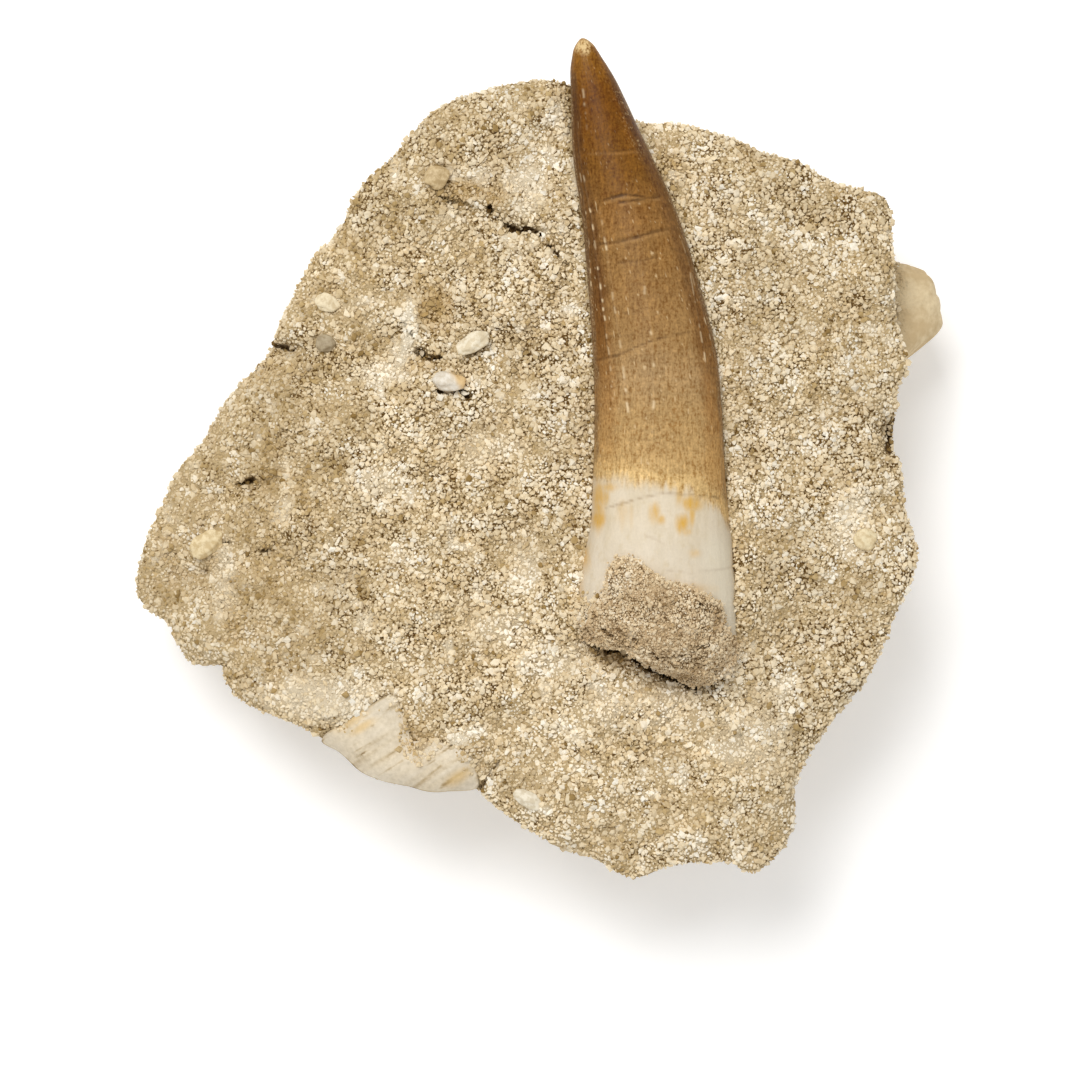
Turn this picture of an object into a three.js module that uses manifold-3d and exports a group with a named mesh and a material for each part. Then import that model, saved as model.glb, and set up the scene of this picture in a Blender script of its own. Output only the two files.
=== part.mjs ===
// Fossil plesiosaur tooth lying in its matrix, a rough slab of sandy phosphate rock.
// Millimetres. +Z is up and +Y runs from the tooth's root to its tip.
// The origin is the middle of the small flat spot under the slab.
import * as THREE from "three";
import { mergeVertices } from "three/addons/utils/BufferGeometryUtils.js";
import Module from "manifold-3d";

// Driving dimensions of the slab
const TOP = 17.2; // height of the top face beside the tooth
const LEFT_FALL = { from: -13, over: 20, drop: 4.6 }; // the top sinks towards the left end
const RIM_FALL = { share: 0.14, drop: 1.5 }; // the top rounds over into the broken sides
const SIDE = { footHeight: 3.0, footInset: 3.6, most: 0.1 }; // the sides stay under the rim
const UNDERSIDE = [{ share: 0.78, z: 0.9 }, { share: 0.6, z: 0 }]; // rows from the foot to the flat spot
const RELIEF = { longest: 13, count: 9, top: 0.26, side: 0.55, shrink: 0.78, turn: 2.4 };
const KNOB = { angle: 0.43, below: 0.085, above: 0.14, height: 6.5, tall: 5.2, reach: 5.2 };
const BANK = { from: 2, over: 8, rise: 1.0, reach: 2.2 }; // rock that laps against the root

// Outline of the top face seen from above, anticlockwise from its top edge
const RIM_CENTRE = [1.6, -1.8];
const RIM = [
  [-0.2, 30.5], [-4.2, 29.8], [-7.9, 28.4], [-11.9, 24.4], [-14.4, 22.0], [-16.5, 17.9],
  [-18.0, 16.7], [-20.0, 13.2], [-21.7, 9.4], [-22.4, 8.0], [-25.5, 4.8], [-27.5, 1.4],
  [-29.6, -0.9], [-31.0, -4.0], [-32.6, -7.9], [-32.9, -11.1], [-31.7, -12.5], [-30.3, -13.5],
  [-29.8, -14.7], [-28.7, -16.4], [-27.6, -16.8], [-26.0, -16.8], [-25.8, -17.8], [-24.3, -19.6],
  [-19.5, -21.6], [-16.3, -23.6], [-15.1, -24.7], [-13.0, -25.9], [-10.7, -26.4], [-7.6, -26.8],
  [-5.0, -26.8], [-3.8, -27.9], [-1.4, -29.7], [0.3, -30.6], [3.8, -32.0], [7.6, -33.8],
  [10.7, -32.8], [15.5, -32.5], [16.3, -33.2], [17.8, -33.1], [19.5, -31.4], [20.3, -30.0],
  [20.6, -26.3], [23.1, -21.8], [26.1, -18.1], [28.7, -12.5], [30.2, -8.9], [30.4, -7.2],
  [29.5, -4.4], [29.0, -0.4], [28.6, 0.8], [28.8, 5.5], [29.6, 7.6], [28.7, 11.1], [28.4, 16.3],
  [28.2, 20.2], [27.5, 21.2], [26.1, 21.6], [23.4, 22.4], [21.5, 23.6], [17.5, 24.9], [14.7, 26.1],
  [11.5, 26.9], [8.4, 27.1], [6.4, 27.9], [4.0, 29.5], [1.0, 30.4],
];

// Hollows in the top face: centre, half sizes and depth
const PITS = [
  { x: -20.6, y: 8.8, wide: 1.5, long: 0.9, deep: 1.5 }, // notch in the left edge
  { x: 27.9, y: 1.9, wide: 1.1, long: 1.8, deep: 2.0 }, // pocket in the right edge
  { x: -22.8, y: -2.3, wide: 1.3, long: 0.7, deep: 0.9 },
  { x: -27.2, y: -9.2, wide: 1.5, long: 0.8, deep: 0.7 },
  { x: -9.2, y: -22.6, wide: 1.9, long: 2.3, deep: 0.8 }, // sandy hollow above the bone flake
];

// Broken steps in the top face: a raised lip on the upper side of a line and a trough under it
const STEPS = [
  { line: [[-6.6, 20.6], [-2.6, 19.3], [-1.0, 18.2], [0.8, 18.2], [3.0, 15.4]], lip: 0.9, deep: 0.6 },
  { line: [[-10.4, 9.0], [-9.0, 8.4], [-7.6, 7.4]], lip: 0.3, deep: 0.4 },
  { line: [[2.6, -14.2], [5.0, -15.3], [8.2, -16.9], [12.6, -18.5], [14.6, -17.4]], lip: 0, deep: 0.9 },
];
const STEP_SHAPE = { lipReach: 2.6, ramp: 1.6, trough: 1.4, fade: 1.4 };

// Tooth: its axis and radius at stations from tip to root, as y, x, z and radius
const TOOTH = [
  [33.3, 3.37, 19.2, 0.55],
  [32.1, 3.57, 19.2, 1.04],
  [30.9, 3.82, 19.1, 1.49],
  [28.8, 4.42, 19.0, 2.03],
  [24.5, 5.46, 18.7, 2.93],
  [18.9, 7.11, 18.4, 3.78],
  [13.1, 8.3, 18.1, 4.47],
  [7.8, 9.15, 17.9, 4.93],
  [2.6, 9.46, 17.7, 5.13],
  [-2.0, 9.51, 17.6, 5.33],
  [-5.0, 9.58, 17.3, 5.59],
  [-8.0, 9.49, 16.9, 6.14],
  [-10.6, 9.36, 16.5, 6.6],
  [-13.0, 9.24, 16.15, 6.6],
  [-14.2, 9.2, 16.0, 6.2],
  [-15.0, 9.15, 15.95, 5.4],
];
const TOOTH_DEPTH = 0.88; // its section is a little flatter than round
const ROOT_BREAK = 0.28; // slope of the broken root end, further back on its right
const NOSE = 0.9; // length of the blunt tip's rounding
const RIDGES = { angles: [22, 39, 56, 88, 143, 156, 230, 290], height: 0.14, halfWidth: 4 };
const RIDGE_RUN = { start: 30.5, full: 27, fade: 4, end: 0 }; // along y, on the crown only

const GAP = 0.3; // clearance between touching pieces

// Crust of matrix left on the root: its outline seen from above, anticlockwise
const CRUST_CENTRE = [9.2, -13.4];
const CRUST = [
  [6.4, -7.9], [5.4, -9.0], [5.1, -10.6], [4.0, -12.3], [3.5, -14.6], [4.8, -15.2],
  [6.8, -15.8], [8.4, -16.8], [10.2, -17.9], [12.8, -18.3], [14.4, -17.0], [15.0, -14.6],
  [14.6, -12.3], [13.3, -11.0], [12.0, -10.4], [10.0, -9.8], [8.4, -8.7], [7.4, -8.0],
];
const CRUST_SHAPE = { thick: 1.2, edge: 0.5, above: 1.0, fallFrom: 0.7, fallOver: 1.6 };

// Flake of fossil bone set in the lower left rim
const FLAKE_CENTRE = [-11.6, -24.4];
const FLAKE = [
  [-17.6, -22.8], [-15.6, -21.2], [-13.6, -19.8], [-11.6, -19.0], [-10.9, -20.6], [-10.2, -22.6],
  [-7.4, -22.9], [-5.4, -23.9], [-5.0, -25.4], [-5.1, -26.5], [-7.5, -26.75], [-10.6, -26.3],
  [-12.9, -25.8], [-15.0, -24.7], [-16.2, -23.6],
];
const FLAKE_SHAPE = { thick: 1.6, crown: 0.25 };

// Small stones and shell pieces set in the top face: centre, half sizes and turn in degrees
const CHIPS = {
  shell_fragment: { x: -7.3, y: 6.1, size: [1.25, 0.8, 0.75], turn: -6, colour: 0xe0d5c2 },
  bone_chip: { x: -5.4, y: 9.2, size: [1.45, 0.75, 0.5], turn: 28, colour: 0xe4d9bf },
  grey_pebble: { x: -17.2, y: 9.2, size: [0.75, 0.7, 0.45], turn: 0, colour: 0xa29171 },
  pale_chip: { x: -17.0, y: 12.4, size: [0.95, 0.7, 0.45], turn: -15, colour: 0xe6d6b4 },
  round_pebble: { x: -8.2, y: 22.4, size: [1.05, 0.85, 0.5], turn: 20, colour: 0xd6bf92 },
  cream_lump: { x: -27.0, y: -6.9, size: [1.5, 0.95, 0.6], turn: 35, colour: 0xe2cfa3 },
  right_chip: { x: 26.0, y: -6.5, size: [1.0, 0.85, 0.45], turn: -30, colour: 0xe6d6b2 },
  lower_chip: { x: -0.9, y: -27.3, size: [1.2, 0.65, 0.45], turn: -28, colour: 0xe6dcc4 },
};
const CHIP_SET = 0.35; // share of a chip's half height that its middle sits above the rock

const COLOURS = { matrix: 0xc6b28f, tooth: 0xa0794a, crust: 0xbba582, flake: 0xddcfb8 };

const wasm = await Module();
wasm.setup();

const clamp01 = (t) => Math.min(1, Math.max(0, t));
const smooth = (t) => clamp01(t) ** 2 * (3 - 2 * clamp01(t));
const bell = (t) => Math.exp(-t * t);

// Smooth curve through (xs, ys) at x, with each knot's slope taken from its two neighbours
function curveAt(xs, ys, x) {
  const last = xs.length - 1;
  let i = 0;
  while (i < last - 1 && x > xs[i + 1]) i++;
  const slope = (k) => {
    const a = Math.max(0, k - 1);
    const b = Math.min(last, k + 1);
    return (ys[b] - ys[a]) / (xs[b] - xs[a]);
  };
  const span = xs[i + 1] - xs[i];
  const t = clamp01((x - xs[i]) / span);
  const h = t * t * (3 - 2 * t);
  const bend = t * (1 - t) * span * ((1 - t) * slope(i) - t * slope(i + 1));
  return ys[i] * (1 - h) + ys[i + 1] * h + bend;
}

// Radius of a closed outline at an angle seen from its centre
function outlineRadius(points, centre) {
  const polar = points
    .map(([x, y]) => {
      const angle = Math.atan2(y - centre[1], x - centre[0]);
      return [angle, Math.hypot(x - centre[0], y - centre[1])];
    })
    .sort((a, b) => a[0] - b[0]);
  const full = 2 * Math.PI;
  const before = polar.slice(-2).map(([a, r]) => [a - full, r]);
  const after = polar.slice(0, 2).map(([a, r]) => [a + full, r]);
  const knots = [...before, ...polar, ...after];
  const angles = knots.map(([a]) => a);
  const radii = knots.map(([, r]) => r);
  return (angle) => curveAt(angles, radii, Math.atan2(Math.sin(angle), Math.cos(angle)));
}

// Rough relief of broken rock: waves of falling length, each turned from the last
function rockWaves(x, y, z, longest = RELIEF.longest, count = RELIEF.count) {
  let sum = 0;
  for (let k = 0; k < count; k++) {
    const share = RELIEF.shrink ** k;
    const flat = x * Math.cos(RELIEF.turn * k) + y * Math.sin(RELIEF.turn * k);
    const along = flat + z * Math.sin(1.7 * k + 0.5);
    sum += share * Math.sin((2 * Math.PI * along) / (longest * share) + 1.3 * k * k);
  }
  return sum;
}

// The tooth's axis, radius and slant where it crosses a given y
const stationYs = TOOTH.map(([y]) => -y);
const TIP_Y = TOOTH[0][0];
const ROOT_Y = TOOTH[TOOTH.length - 1][0];

function toothAt(y) {
  const read = (column) => curveAt(stationYs, TOOTH.map((s) => s[column]), -y);
  const fromTip = clamp01((TIP_Y - y) / NOSE);
  return { x: read(1), z: read(2), radius: read(3) * Math.sqrt(1 - (1 - fromTip) ** 2) };
}

// How far the tooth's loops lean back on the right, which makes the root end slant
function rootSlope(y) {
  return ROOT_BREAK * smooth((y + 8) / (ROOT_Y + 8));
}

// Distance from the tooth's axis seen from above, and its radius there
function toothAcross(x, y) {
  const along = y + rootSlope(y) * (x - toothAt(y).x);
  const here = toothAt(along);
  const slant = Math.atan(toothAt(along + 0.5).x - toothAt(along - 0.5).x);
  return { ...here, along, off: Math.abs(x - here.x) * Math.cos(slant) };
}

// Height of the tooth's upper face, which carries on level past its root end
function toothTop(x, y) {
  const at = toothAcross(x, y);
  return at.z + TOOTH_DEPTH * Math.sqrt(Math.max(0, at.radius ** 2 - at.off ** 2));
}

// Height of the line of a step at x, and how far along its fading ends x lies
function stepRelief(step, x, y) {
  const xs = step.line.map(([px]) => px);
  const ys = step.line.map(([, py]) => py);
  const ends = Math.min(x - xs[0], xs[xs.length - 1] - x);
  const share = smooth(ends / STEP_SHAPE.fade);
  const above = y - curveAt(xs, ys, x);
  const rise = smooth(0.5 + above / STEP_SHAPE.ramp);
  const lip = step.lip * rise * bell(above / STEP_SHAPE.lipReach);
  return share * (lip - step.deep * bell(above / STEP_SHAPE.trough));
}

const rimRadius = outlineRadius(RIM, RIM_CENTRE);

// Height of the slab's top face
function topHeight(x, y) {
  const angle = Math.atan2(y - RIM_CENTRE[1], x - RIM_CENTRE[0]);
  const share = Math.hypot(x - RIM_CENTRE[0], y - RIM_CENTRE[1]) / rimRadius(angle);
  const rim = clamp01((share - 1 + RIM_FALL.share) / RIM_FALL.share);
  let z = TOP + RELIEF.top * rockWaves(x, y, 0) - RIM_FALL.drop * rim ** 3;
  z -= LEFT_FALL.drop * smooth((LEFT_FALL.from - x) / LEFT_FALL.over);
  for (const p of PITS) z -= p.deep * bell(Math.hypot((x - p.x) / p.wide, (y - p.y) / p.long));
  for (const step of STEPS) z += stepRelief(step, x, y);
  if (y > ROOT_Y) {
    const at = toothAcross(x, y);
    const bank = smooth((BANK.from - y) / BANK.over) * smooth((y - ROOT_Y) / 2);
    z += BANK.rise * bank * bell(Math.max(0, at.off - at.radius) / BANK.reach);
  }
  return z;
}

// Closed mesh from points and triangles given as flat lists of numbers
function meshOf(points, triangles) {
  const geometry = new THREE.BufferGeometry();
  geometry.setAttribute("position", new THREE.Float32BufferAttribute(points, 3));
  geometry.setIndex(triangles);
  return geometry;
}

function solidOf(geometry) {
  const bare = geometry.clone();
  bare.deleteAttribute("normal");
  bare.deleteAttribute("uv");
  const merged = mergeVertices(bare, 1e-4);
  const vertProperties = merged.attributes.position.array;
  const triVerts = new Uint32Array(merged.index.array);
  return new wasm.Manifold(new wasm.Mesh({ numProp: 3, vertProperties, triVerts }));
}

// The largest body of a cut solid, so that crumbs left by the cut are dropped
function mainBody(solid) {
  return solid.decompose().reduce((a, b) => (b.volume() > a.volume() ? b : a));
}

function geometryOf(solid) {
  const mesh = solid.getMesh();
  const points = [];
  for (let i = 0; i < mesh.numVert; i++) {
    points.push(...mesh.vertProperties.subarray(i * mesh.numProp, i * mesh.numProp + 3));
  }
  return meshOf(points, Array.from(mesh.triVerts));
}

// Joins closed loops of equal count into a skin that faces outwards, with a point at each end
function skinOf(loops, firstPoint, lastPoint) {
  const count = loops[0].length;
  const points = [...firstPoint, ...loops.flat(2), ...lastPoint];
  const lastIndex = 1 + loops.length * count;
  const triangles = [];
  for (let j = 0; j < count; j++) {
    const next = (j + 1) % count;
    triangles.push(0, 1 + j, 1 + next);
    for (let i = 0; i + 1 < loops.length; i++) {
      const a = 1 + i * count;
      const b = a + count;
      triangles.push(a + j, b + j, b + next, a + j, b + next, a + next);
    }
    const end = lastIndex - count;
    triangles.push(end + j, lastIndex, end + next);
  }
  return meshOf(points, triangles);
}

// Slab: the top face is a square grid bent to the outline, then rows go down the sides to the flat spot
const TOP_CELLS = 17; // from the middle of the top face to its rim
const SIDE_ROWS = 6;

function gridToOutline(a, b) {
  const reach = Math.max(Math.abs(a), Math.abs(b));
  if (reach === 0) return [0, 0];
  const across = Math.abs(a) >= Math.abs(b);
  const turn = across ? (Math.PI / 4) * (b / a) : Math.PI / 2 - (Math.PI / 4) * (a / b);
  const flip = (across ? a : b) < 0 ? Math.PI : 0;
  return [reach, turn + flip];
}

function topPoint(reach, angle) {
  const r = reach * rimRadius(angle);
  const x = RIM_CENTRE[0] + r * Math.cos(angle);
  const y = RIM_CENTRE[1] + r * Math.sin(angle);
  return [x, y, topHeight(x, y)];
}

// A point of the broken side: down is 0 at the rim and 1 at the foot
function sidePoint(angle, down) {
  const [rimX, rimY, rimZ] = topPoint(1, angle);
  const z = rimZ + (SIDE.footHeight - rimZ) * down;
  const rough = rockWaves(rimX, rimY, 1.6 * z, RELIEF.longest * 0.8) - 0.6;
  const turned = Math.atan2(Math.sin(angle - KNOB.angle), Math.cos(angle - KNOB.angle));
  const sideways = turned / (turned < 0 ? KNOB.below : KNOB.above);
  const knob = KNOB.reach * bell(sideways ** 2) * bell(((z - KNOB.height) / KNOB.tall) ** 2);
  const held = RELIEF.side * smooth(down / 0.3) * (1 - 0.5 * down);
  const out = Math.min(SIDE.most, rough * held) - SIDE.footInset * down ** 4;
  const r = rimRadius(angle) + out + knob;
  return [RIM_CENTRE[0] + r * Math.cos(angle), RIM_CENTRE[1] + r * Math.sin(angle), z];
}

function undersidePoint(angle, row) {
  const r = row.share * rimRadius(angle);
  const x = RIM_CENTRE[0] + r * Math.cos(angle);
  const y = RIM_CENTRE[1] + r * Math.sin(angle);
  return [x, y, row.z];
}

function slabGeometry() {
  const n = 2 * TOP_CELLS;
  const points = [];
  const triangles = [];
  for (let j = 0; j <= n; j++) {
    for (let i = 0; i <= n; i++) {
      points.push(...topPoint(...gridToOutline(i / TOP_CELLS - 1, j / TOP_CELLS - 1)));
    }
  }
  for (let j = 0; j < n; j++) {
    for (let i = 0; i < n; i++) {
      const a = j * (n + 1) + i;
      const b = a + n + 1;
      const even = i < TOP_CELLS === j < TOP_CELLS;
      if (even) triangles.push(a, a + 1, b + 1, a, b + 1, b);
      else triangles.push(a, a + 1, b, a + 1, b + 1, b);
    }
  }
  const rim = []; // the grid's border, anticlockwise, with each point's angle
  for (let k = 0; k < n; k++) rim.push([n, k]);
  for (let k = 0; k < n; k++) rim.push([n - k, n]);
  for (let k = 0; k < n; k++) rim.push([0, n - k]);
  for (let k = 0; k < n; k++) rim.push([k, 0]);
  const angles = rim.map(([i, j]) => gridToOutline(i / TOP_CELLS - 1, j / TOP_CELLS - 1)[1]);
  let upper = rim.map(([i, j]) => j * (n + 1) + i);
  const addRow = (pointAt) => {
    const first = points.length / 3;
    for (const angle of angles) points.push(...pointAt(angle));
    const lower = upper.map((_, k) => first + k);
    upper.forEach((u, k) => {
      const next = (k + 1) % upper.length;
      triangles.push(u, lower[k], lower[next], u, lower[next], upper[next]);
    });
    upper = lower;
  };
  for (let row = 1; row <= SIDE_ROWS; row++) addRow((angle) => sidePoint(angle, row / SIDE_ROWS));
  for (const row of UNDERSIDE) addRow((angle) => undersidePoint(angle, row));
  const middle = points.length / 3;
  points.push(0, 0, 0);
  upper.forEach((u, k) => triangles.push(u, middle, upper[(k + 1) % upper.length]));
  return meshOf(points, triangles);
}

// Tooth: loops along the axis, closer together at the tip, with low ridges on the crown
const TOOTH_LOOPS = 22;

function ridgeShare(y) {
  const start = smooth((RIDGE_RUN.start - y) / (RIDGE_RUN.start - RIDGE_RUN.full));
  return start * smooth((y - RIDGE_RUN.end) / RIDGE_RUN.fade);
}

function toothAngles() {
  const half = RIDGES.halfWidth;
  const marks = RIDGES.angles.flatMap((a) => [a - half, a, a + half]);
  const clear = (a) => RIDGES.angles.every((r) => Math.abs(((a - r + 540) % 360) - 180) > 2.5 * half);
  for (let a = 0; a < 360; a += 15) if (clear(a)) marks.push(a);
  return marks.sort((a, b) => a - b);
}

function toothLoop(y, angles, swell, ridged) {
  const at = toothAt(y);
  const ahead = toothAt(y - 0.2);
  const behind = toothAt(y + 0.2);
  const along = new THREE.Vector3(ahead.x - behind.x, -0.4, ahead.z - behind.z).normalize();
  const side = along.clone().cross(new THREE.Vector3(0, 0, 1)).normalize();
  const up = side.clone().cross(along);
  return angles.map((degrees) => {
    const angle = THREE.MathUtils.degToRad(degrees);
    const crest = ridged && RIDGES.angles.includes(degrees) ? RIDGES.height * ridgeShare(y) : 0;
    const r = at.radius + swell + crest;
    const point = new THREE.Vector3(at.x, y, at.z);
    point.addScaledVector(side, r * Math.cos(angle));
    point.addScaledVector(up, r * Math.sin(angle) * TOOTH_DEPTH);
    point.y -= rootSlope(y) * (point.x - at.x);
    return point.toArray();
  });
}

function toothGeometry(angles, swell = 0, ridged = true) {
  const loops = [];
  for (let i = 1; i <= TOOTH_LOOPS; i++) {
    const y = TIP_Y - (TIP_Y - ROOT_Y) * (i / TOOTH_LOOPS) ** 1.3;
    loops.push(toothLoop(y, angles, swell, ridged));
  }
  if (swell > 0) loops.push(toothLoop(ROOT_Y - swell, angles, swell, ridged));
  const tip = toothAt(TIP_Y);
  const root = toothAt(ROOT_Y);
  return skinOf(loops, [tip.x, TIP_Y + swell, tip.z], [root.x, ROOT_Y - swell, root.z]);
}

// A lump with a given outline: a top that follows topAt(x, y, share) and an underside at bottomAt
function lumpGeometry(points, centre, count, rings, topAt, bottomAt) {
  const radiusAt = outlineRadius(points, centre);
  const loopAt = (share, heightAt) => {
    const loop = [];
    for (let k = 0; k < count; k++) {
      const angle = (2 * Math.PI * k) / count;
      const x = centre[0] + share * radiusAt(angle) * Math.cos(angle);
      const y = centre[1] + share * radiusAt(angle) * Math.sin(angle);
      loop.push([x, y, heightAt(x, y, share)]);
    }
    return loop;
  };
  const loops = [];
  for (let i = 1; i <= rings; i++) loops.push(loopAt(i / rings, topAt));
  loops.push(loopAt(0.98, bottomAt));
  const [x, y] = centre;
  return skinOf(loops, [x, y, topAt(x, y, 0)], [x, y, bottomAt(x, y, 0)]);
}

function crustGeometry() {
  const topAt = (x, y, share) => {
    const past = ROOT_Y - toothAcross(x, y).along;
    const fall = smooth((past - CRUST_SHAPE.fallFrom) / CRUST_SHAPE.fallOver);
    const rock = topHeight(x, y) + CRUST_SHAPE.above;
    const held = Math.max(rock, toothTop(x, y));
    const thick = CRUST_SHAPE.edge + (CRUST_SHAPE.thick - CRUST_SHAPE.edge) * (1 - share ** 3);
    return held * (1 - fall) + rock * fall + thick + 0.1 * rockWaves(x, y, 3, 5, 6);
  };
  return lumpGeometry(CRUST, CRUST_CENTRE, 32, 7, topAt, () => TOP - 3);
}

function flakeGeometry() {
  const topAt = (x, y, share) => topHeight(x, y) + FLAKE_SHAPE.crown * (1.2 - share ** 2);
  const bottomAt = (x, y, share) => topHeight(x, y) - FLAKE_SHAPE.thick * (1 - 0.4 * share);
  return lumpGeometry(FLAKE, FLAKE_CENTRE, 28, 4, topAt, bottomAt);
}

// A chip: a squashed rounded stone with a slightly uneven skin, turned about the vertical
function chipGeometry(chip, swell = 0) {
  const stone = new THREE.IcosahedronGeometry(1, 1);
  const place = stone.attributes.position;
  const [a, b, c] = chip.size;
  for (let i = 0; i < place.count; i++) {
    const [x, y, z] = [place.getX(i), place.getY(i), place.getZ(i)];
    const uneven = 1 + 0.06 * rockWaves(x * 3 + chip.x, y * 3 + chip.y, z * 3, 5, 4);
    place.setXYZ(i, x * (a * uneven + swell), y * (b * uneven + swell), z * (c * uneven + swell));
  }
  stone.rotateZ(THREE.MathUtils.degToRad(chip.turn));
  return stone.translate(chip.x, chip.y, topHeight(chip.x, chip.y) + CHIP_SET * c);
}

// The flake grown by the clearance, for its bed in the slab
function flakeBed() {
  const flake = solidOf(flakeGeometry());
  const moves = [[1, 0], [-1, 0], [0, 1], [0, -1]].map(([x, y]) => [x * GAP, y * GAP, 0]);
  const grown = [[0, 0, -GAP], [0, 0, 2 * GAP], ...moves].map((move) => flake.translate(move));
  return grown.reduce((whole, copy) => whole.add(copy), flake);
}

function addPiece(group, name, geometry, colour, roughness) {
  const flatShaded = geometry.index ? geometry.toNonIndexed() : geometry;
  flatShaded.computeVertexNormals();
  const material = new THREE.MeshStandardMaterial({ color: colour, roughness, metalness: 0 });
  const mesh = new THREE.Mesh(flatShaded, material);
  mesh.name = name;
  group.add(mesh);
}

const evenAngles = Array.from({ length: 18 }, (_, k) => k * 20);
const toothRoom = solidOf(toothGeometry(evenAngles, GAP + 0.15, false));

const specimen = new THREE.Group();

const rock = solidOf(slabGeometry());
let slab = rock.subtract(toothRoom).subtract(flakeBed());
for (const chip of Object.values(CHIPS)) slab = slab.subtract(solidOf(chipGeometry(chip, GAP)));
slab = mainBody(slab);
addPiece(specimen, "matrix", geometryOf(slab), COLOURS.matrix, 0.95);

addPiece(specimen, "tooth", toothGeometry(toothAngles()), COLOURS.tooth, 0.35);

const crust = solidOf(crustGeometry()).subtract(toothRoom).subtract(rock.translate([0, 0, GAP]));
addPiece(specimen, "root_crust", geometryOf(mainBody(crust)), COLOURS.crust, 0.95);

addPiece(specimen, "bone_flake", flakeGeometry(), COLOURS.flake, 0.7);

for (const [name, chip] of Object.entries(CHIPS)) {
  addPiece(specimen, name, chipGeometry(chip), chip.colour, 0.7);
}

export default specimen;
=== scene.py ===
import math
import bpy
import numpy as np
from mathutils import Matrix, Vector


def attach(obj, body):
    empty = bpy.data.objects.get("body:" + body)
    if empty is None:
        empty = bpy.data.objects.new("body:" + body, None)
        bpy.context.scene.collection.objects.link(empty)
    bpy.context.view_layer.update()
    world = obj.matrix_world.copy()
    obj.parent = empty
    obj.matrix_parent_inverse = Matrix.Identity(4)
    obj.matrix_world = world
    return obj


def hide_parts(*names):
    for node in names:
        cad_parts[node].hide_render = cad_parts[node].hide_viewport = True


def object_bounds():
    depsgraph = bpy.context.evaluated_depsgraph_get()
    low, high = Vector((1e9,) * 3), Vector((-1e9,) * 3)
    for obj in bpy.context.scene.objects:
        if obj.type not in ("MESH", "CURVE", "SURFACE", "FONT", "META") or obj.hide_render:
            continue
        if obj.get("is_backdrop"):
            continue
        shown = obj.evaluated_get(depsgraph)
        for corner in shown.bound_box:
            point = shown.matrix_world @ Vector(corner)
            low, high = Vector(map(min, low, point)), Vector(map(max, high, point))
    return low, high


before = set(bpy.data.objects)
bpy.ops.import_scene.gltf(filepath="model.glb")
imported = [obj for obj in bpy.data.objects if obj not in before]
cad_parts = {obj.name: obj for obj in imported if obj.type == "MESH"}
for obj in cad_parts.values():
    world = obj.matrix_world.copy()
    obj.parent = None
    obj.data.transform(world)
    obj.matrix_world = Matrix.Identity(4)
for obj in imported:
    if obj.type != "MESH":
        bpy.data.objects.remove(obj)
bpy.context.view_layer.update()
mm = 0.001  # everything below is worked out in millimetres
fullTurn = 2 * math.pi
mapMargin = 0.01  # free edge of every map
print("frame loaded:", len(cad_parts), "nodes")


# Smooth step: three squares less two cubes of t, held between 0 and 1
def smooth(t):
    c = np.clip(t, 0, 1)
    return c * c * (3 - 2 * c)


# Bell: e to the power of minus t squared
def bell(t):
    return np.exp(-t * t)


# Cubic through the knots, where each knot's slope is taken from its two neighbours
def curveAt(xs, ys, x):
    xs, ys = np.asarray(xs, float), np.asarray(ys, float)
    order = np.arange(len(xs))
    before, after = np.maximum(order - 1, 0), np.minimum(order + 1, len(xs) - 1)
    slopes = (ys[after] - ys[before]) / (xs[after] - xs[before])
    i = np.clip(np.searchsorted(xs, x, side="left") - 1, 0, len(xs) - 2)
    span = xs[i + 1] - xs[i]
    t = np.clip((x - xs[i]) / span, 0, 1)
    h = t * t * (3 - 2 * t)
    bend = t * (1 - t) * span * ((1 - t) * slopes[i] - t * slopes[i + 1])
    return ys[i] * (1 - h) + ys[i + 1] * h + bend


# Radius of a closed outline at an angle: a curve through its points sorted by angle round a centre
def outlineRadius(points, centre):
    away = np.array(points, float) - centre
    angles, radii = np.arctan2(away[:, 1], away[:, 0]), np.hypot(away[:, 0], away[:, 1])
    order = np.argsort(angles)
    angles, radii = angles[order], radii[order]
    knots = np.concatenate([angles[-2:] - fullTurn, angles, angles[:2] + fullTurn])
    lengths = np.concatenate([radii[-2:], radii, radii[:2]])
    return lambda angle: curveAt(knots, lengths, np.arctan2(np.sin(angle), np.cos(angle)))


# Share of the way from an outline's centre to the outline
def outlineShare(x, y, radiusAt, centre):
    dx, dy = x - centre[0], y - centre[1]
    return np.hypot(dx, dy) / radiusAt(np.arctan2(dy, dx))


# Place at an angle and a distance from the centre of a shape
def placeAround(shape, angle, r):
    return shape["centre"][0] + r * np.cos(angle), shape["centre"][1] + r * np.sin(angle)


# Relief of broken rock: sines of falling length and height, each turned from the last
def rockWaves(x, y, z, longest=13, count=9):
    total = 0
    for k in range(count):
        share = 0.78**k
        along = x * math.cos(2.4 * k) + y * math.sin(2.4 * k) + z * math.sin(1.7 * k + 0.5)
        total = total + share * np.sin(fullTurn * along / (longest * share) + 1.3 * k * k)
    return total


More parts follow.
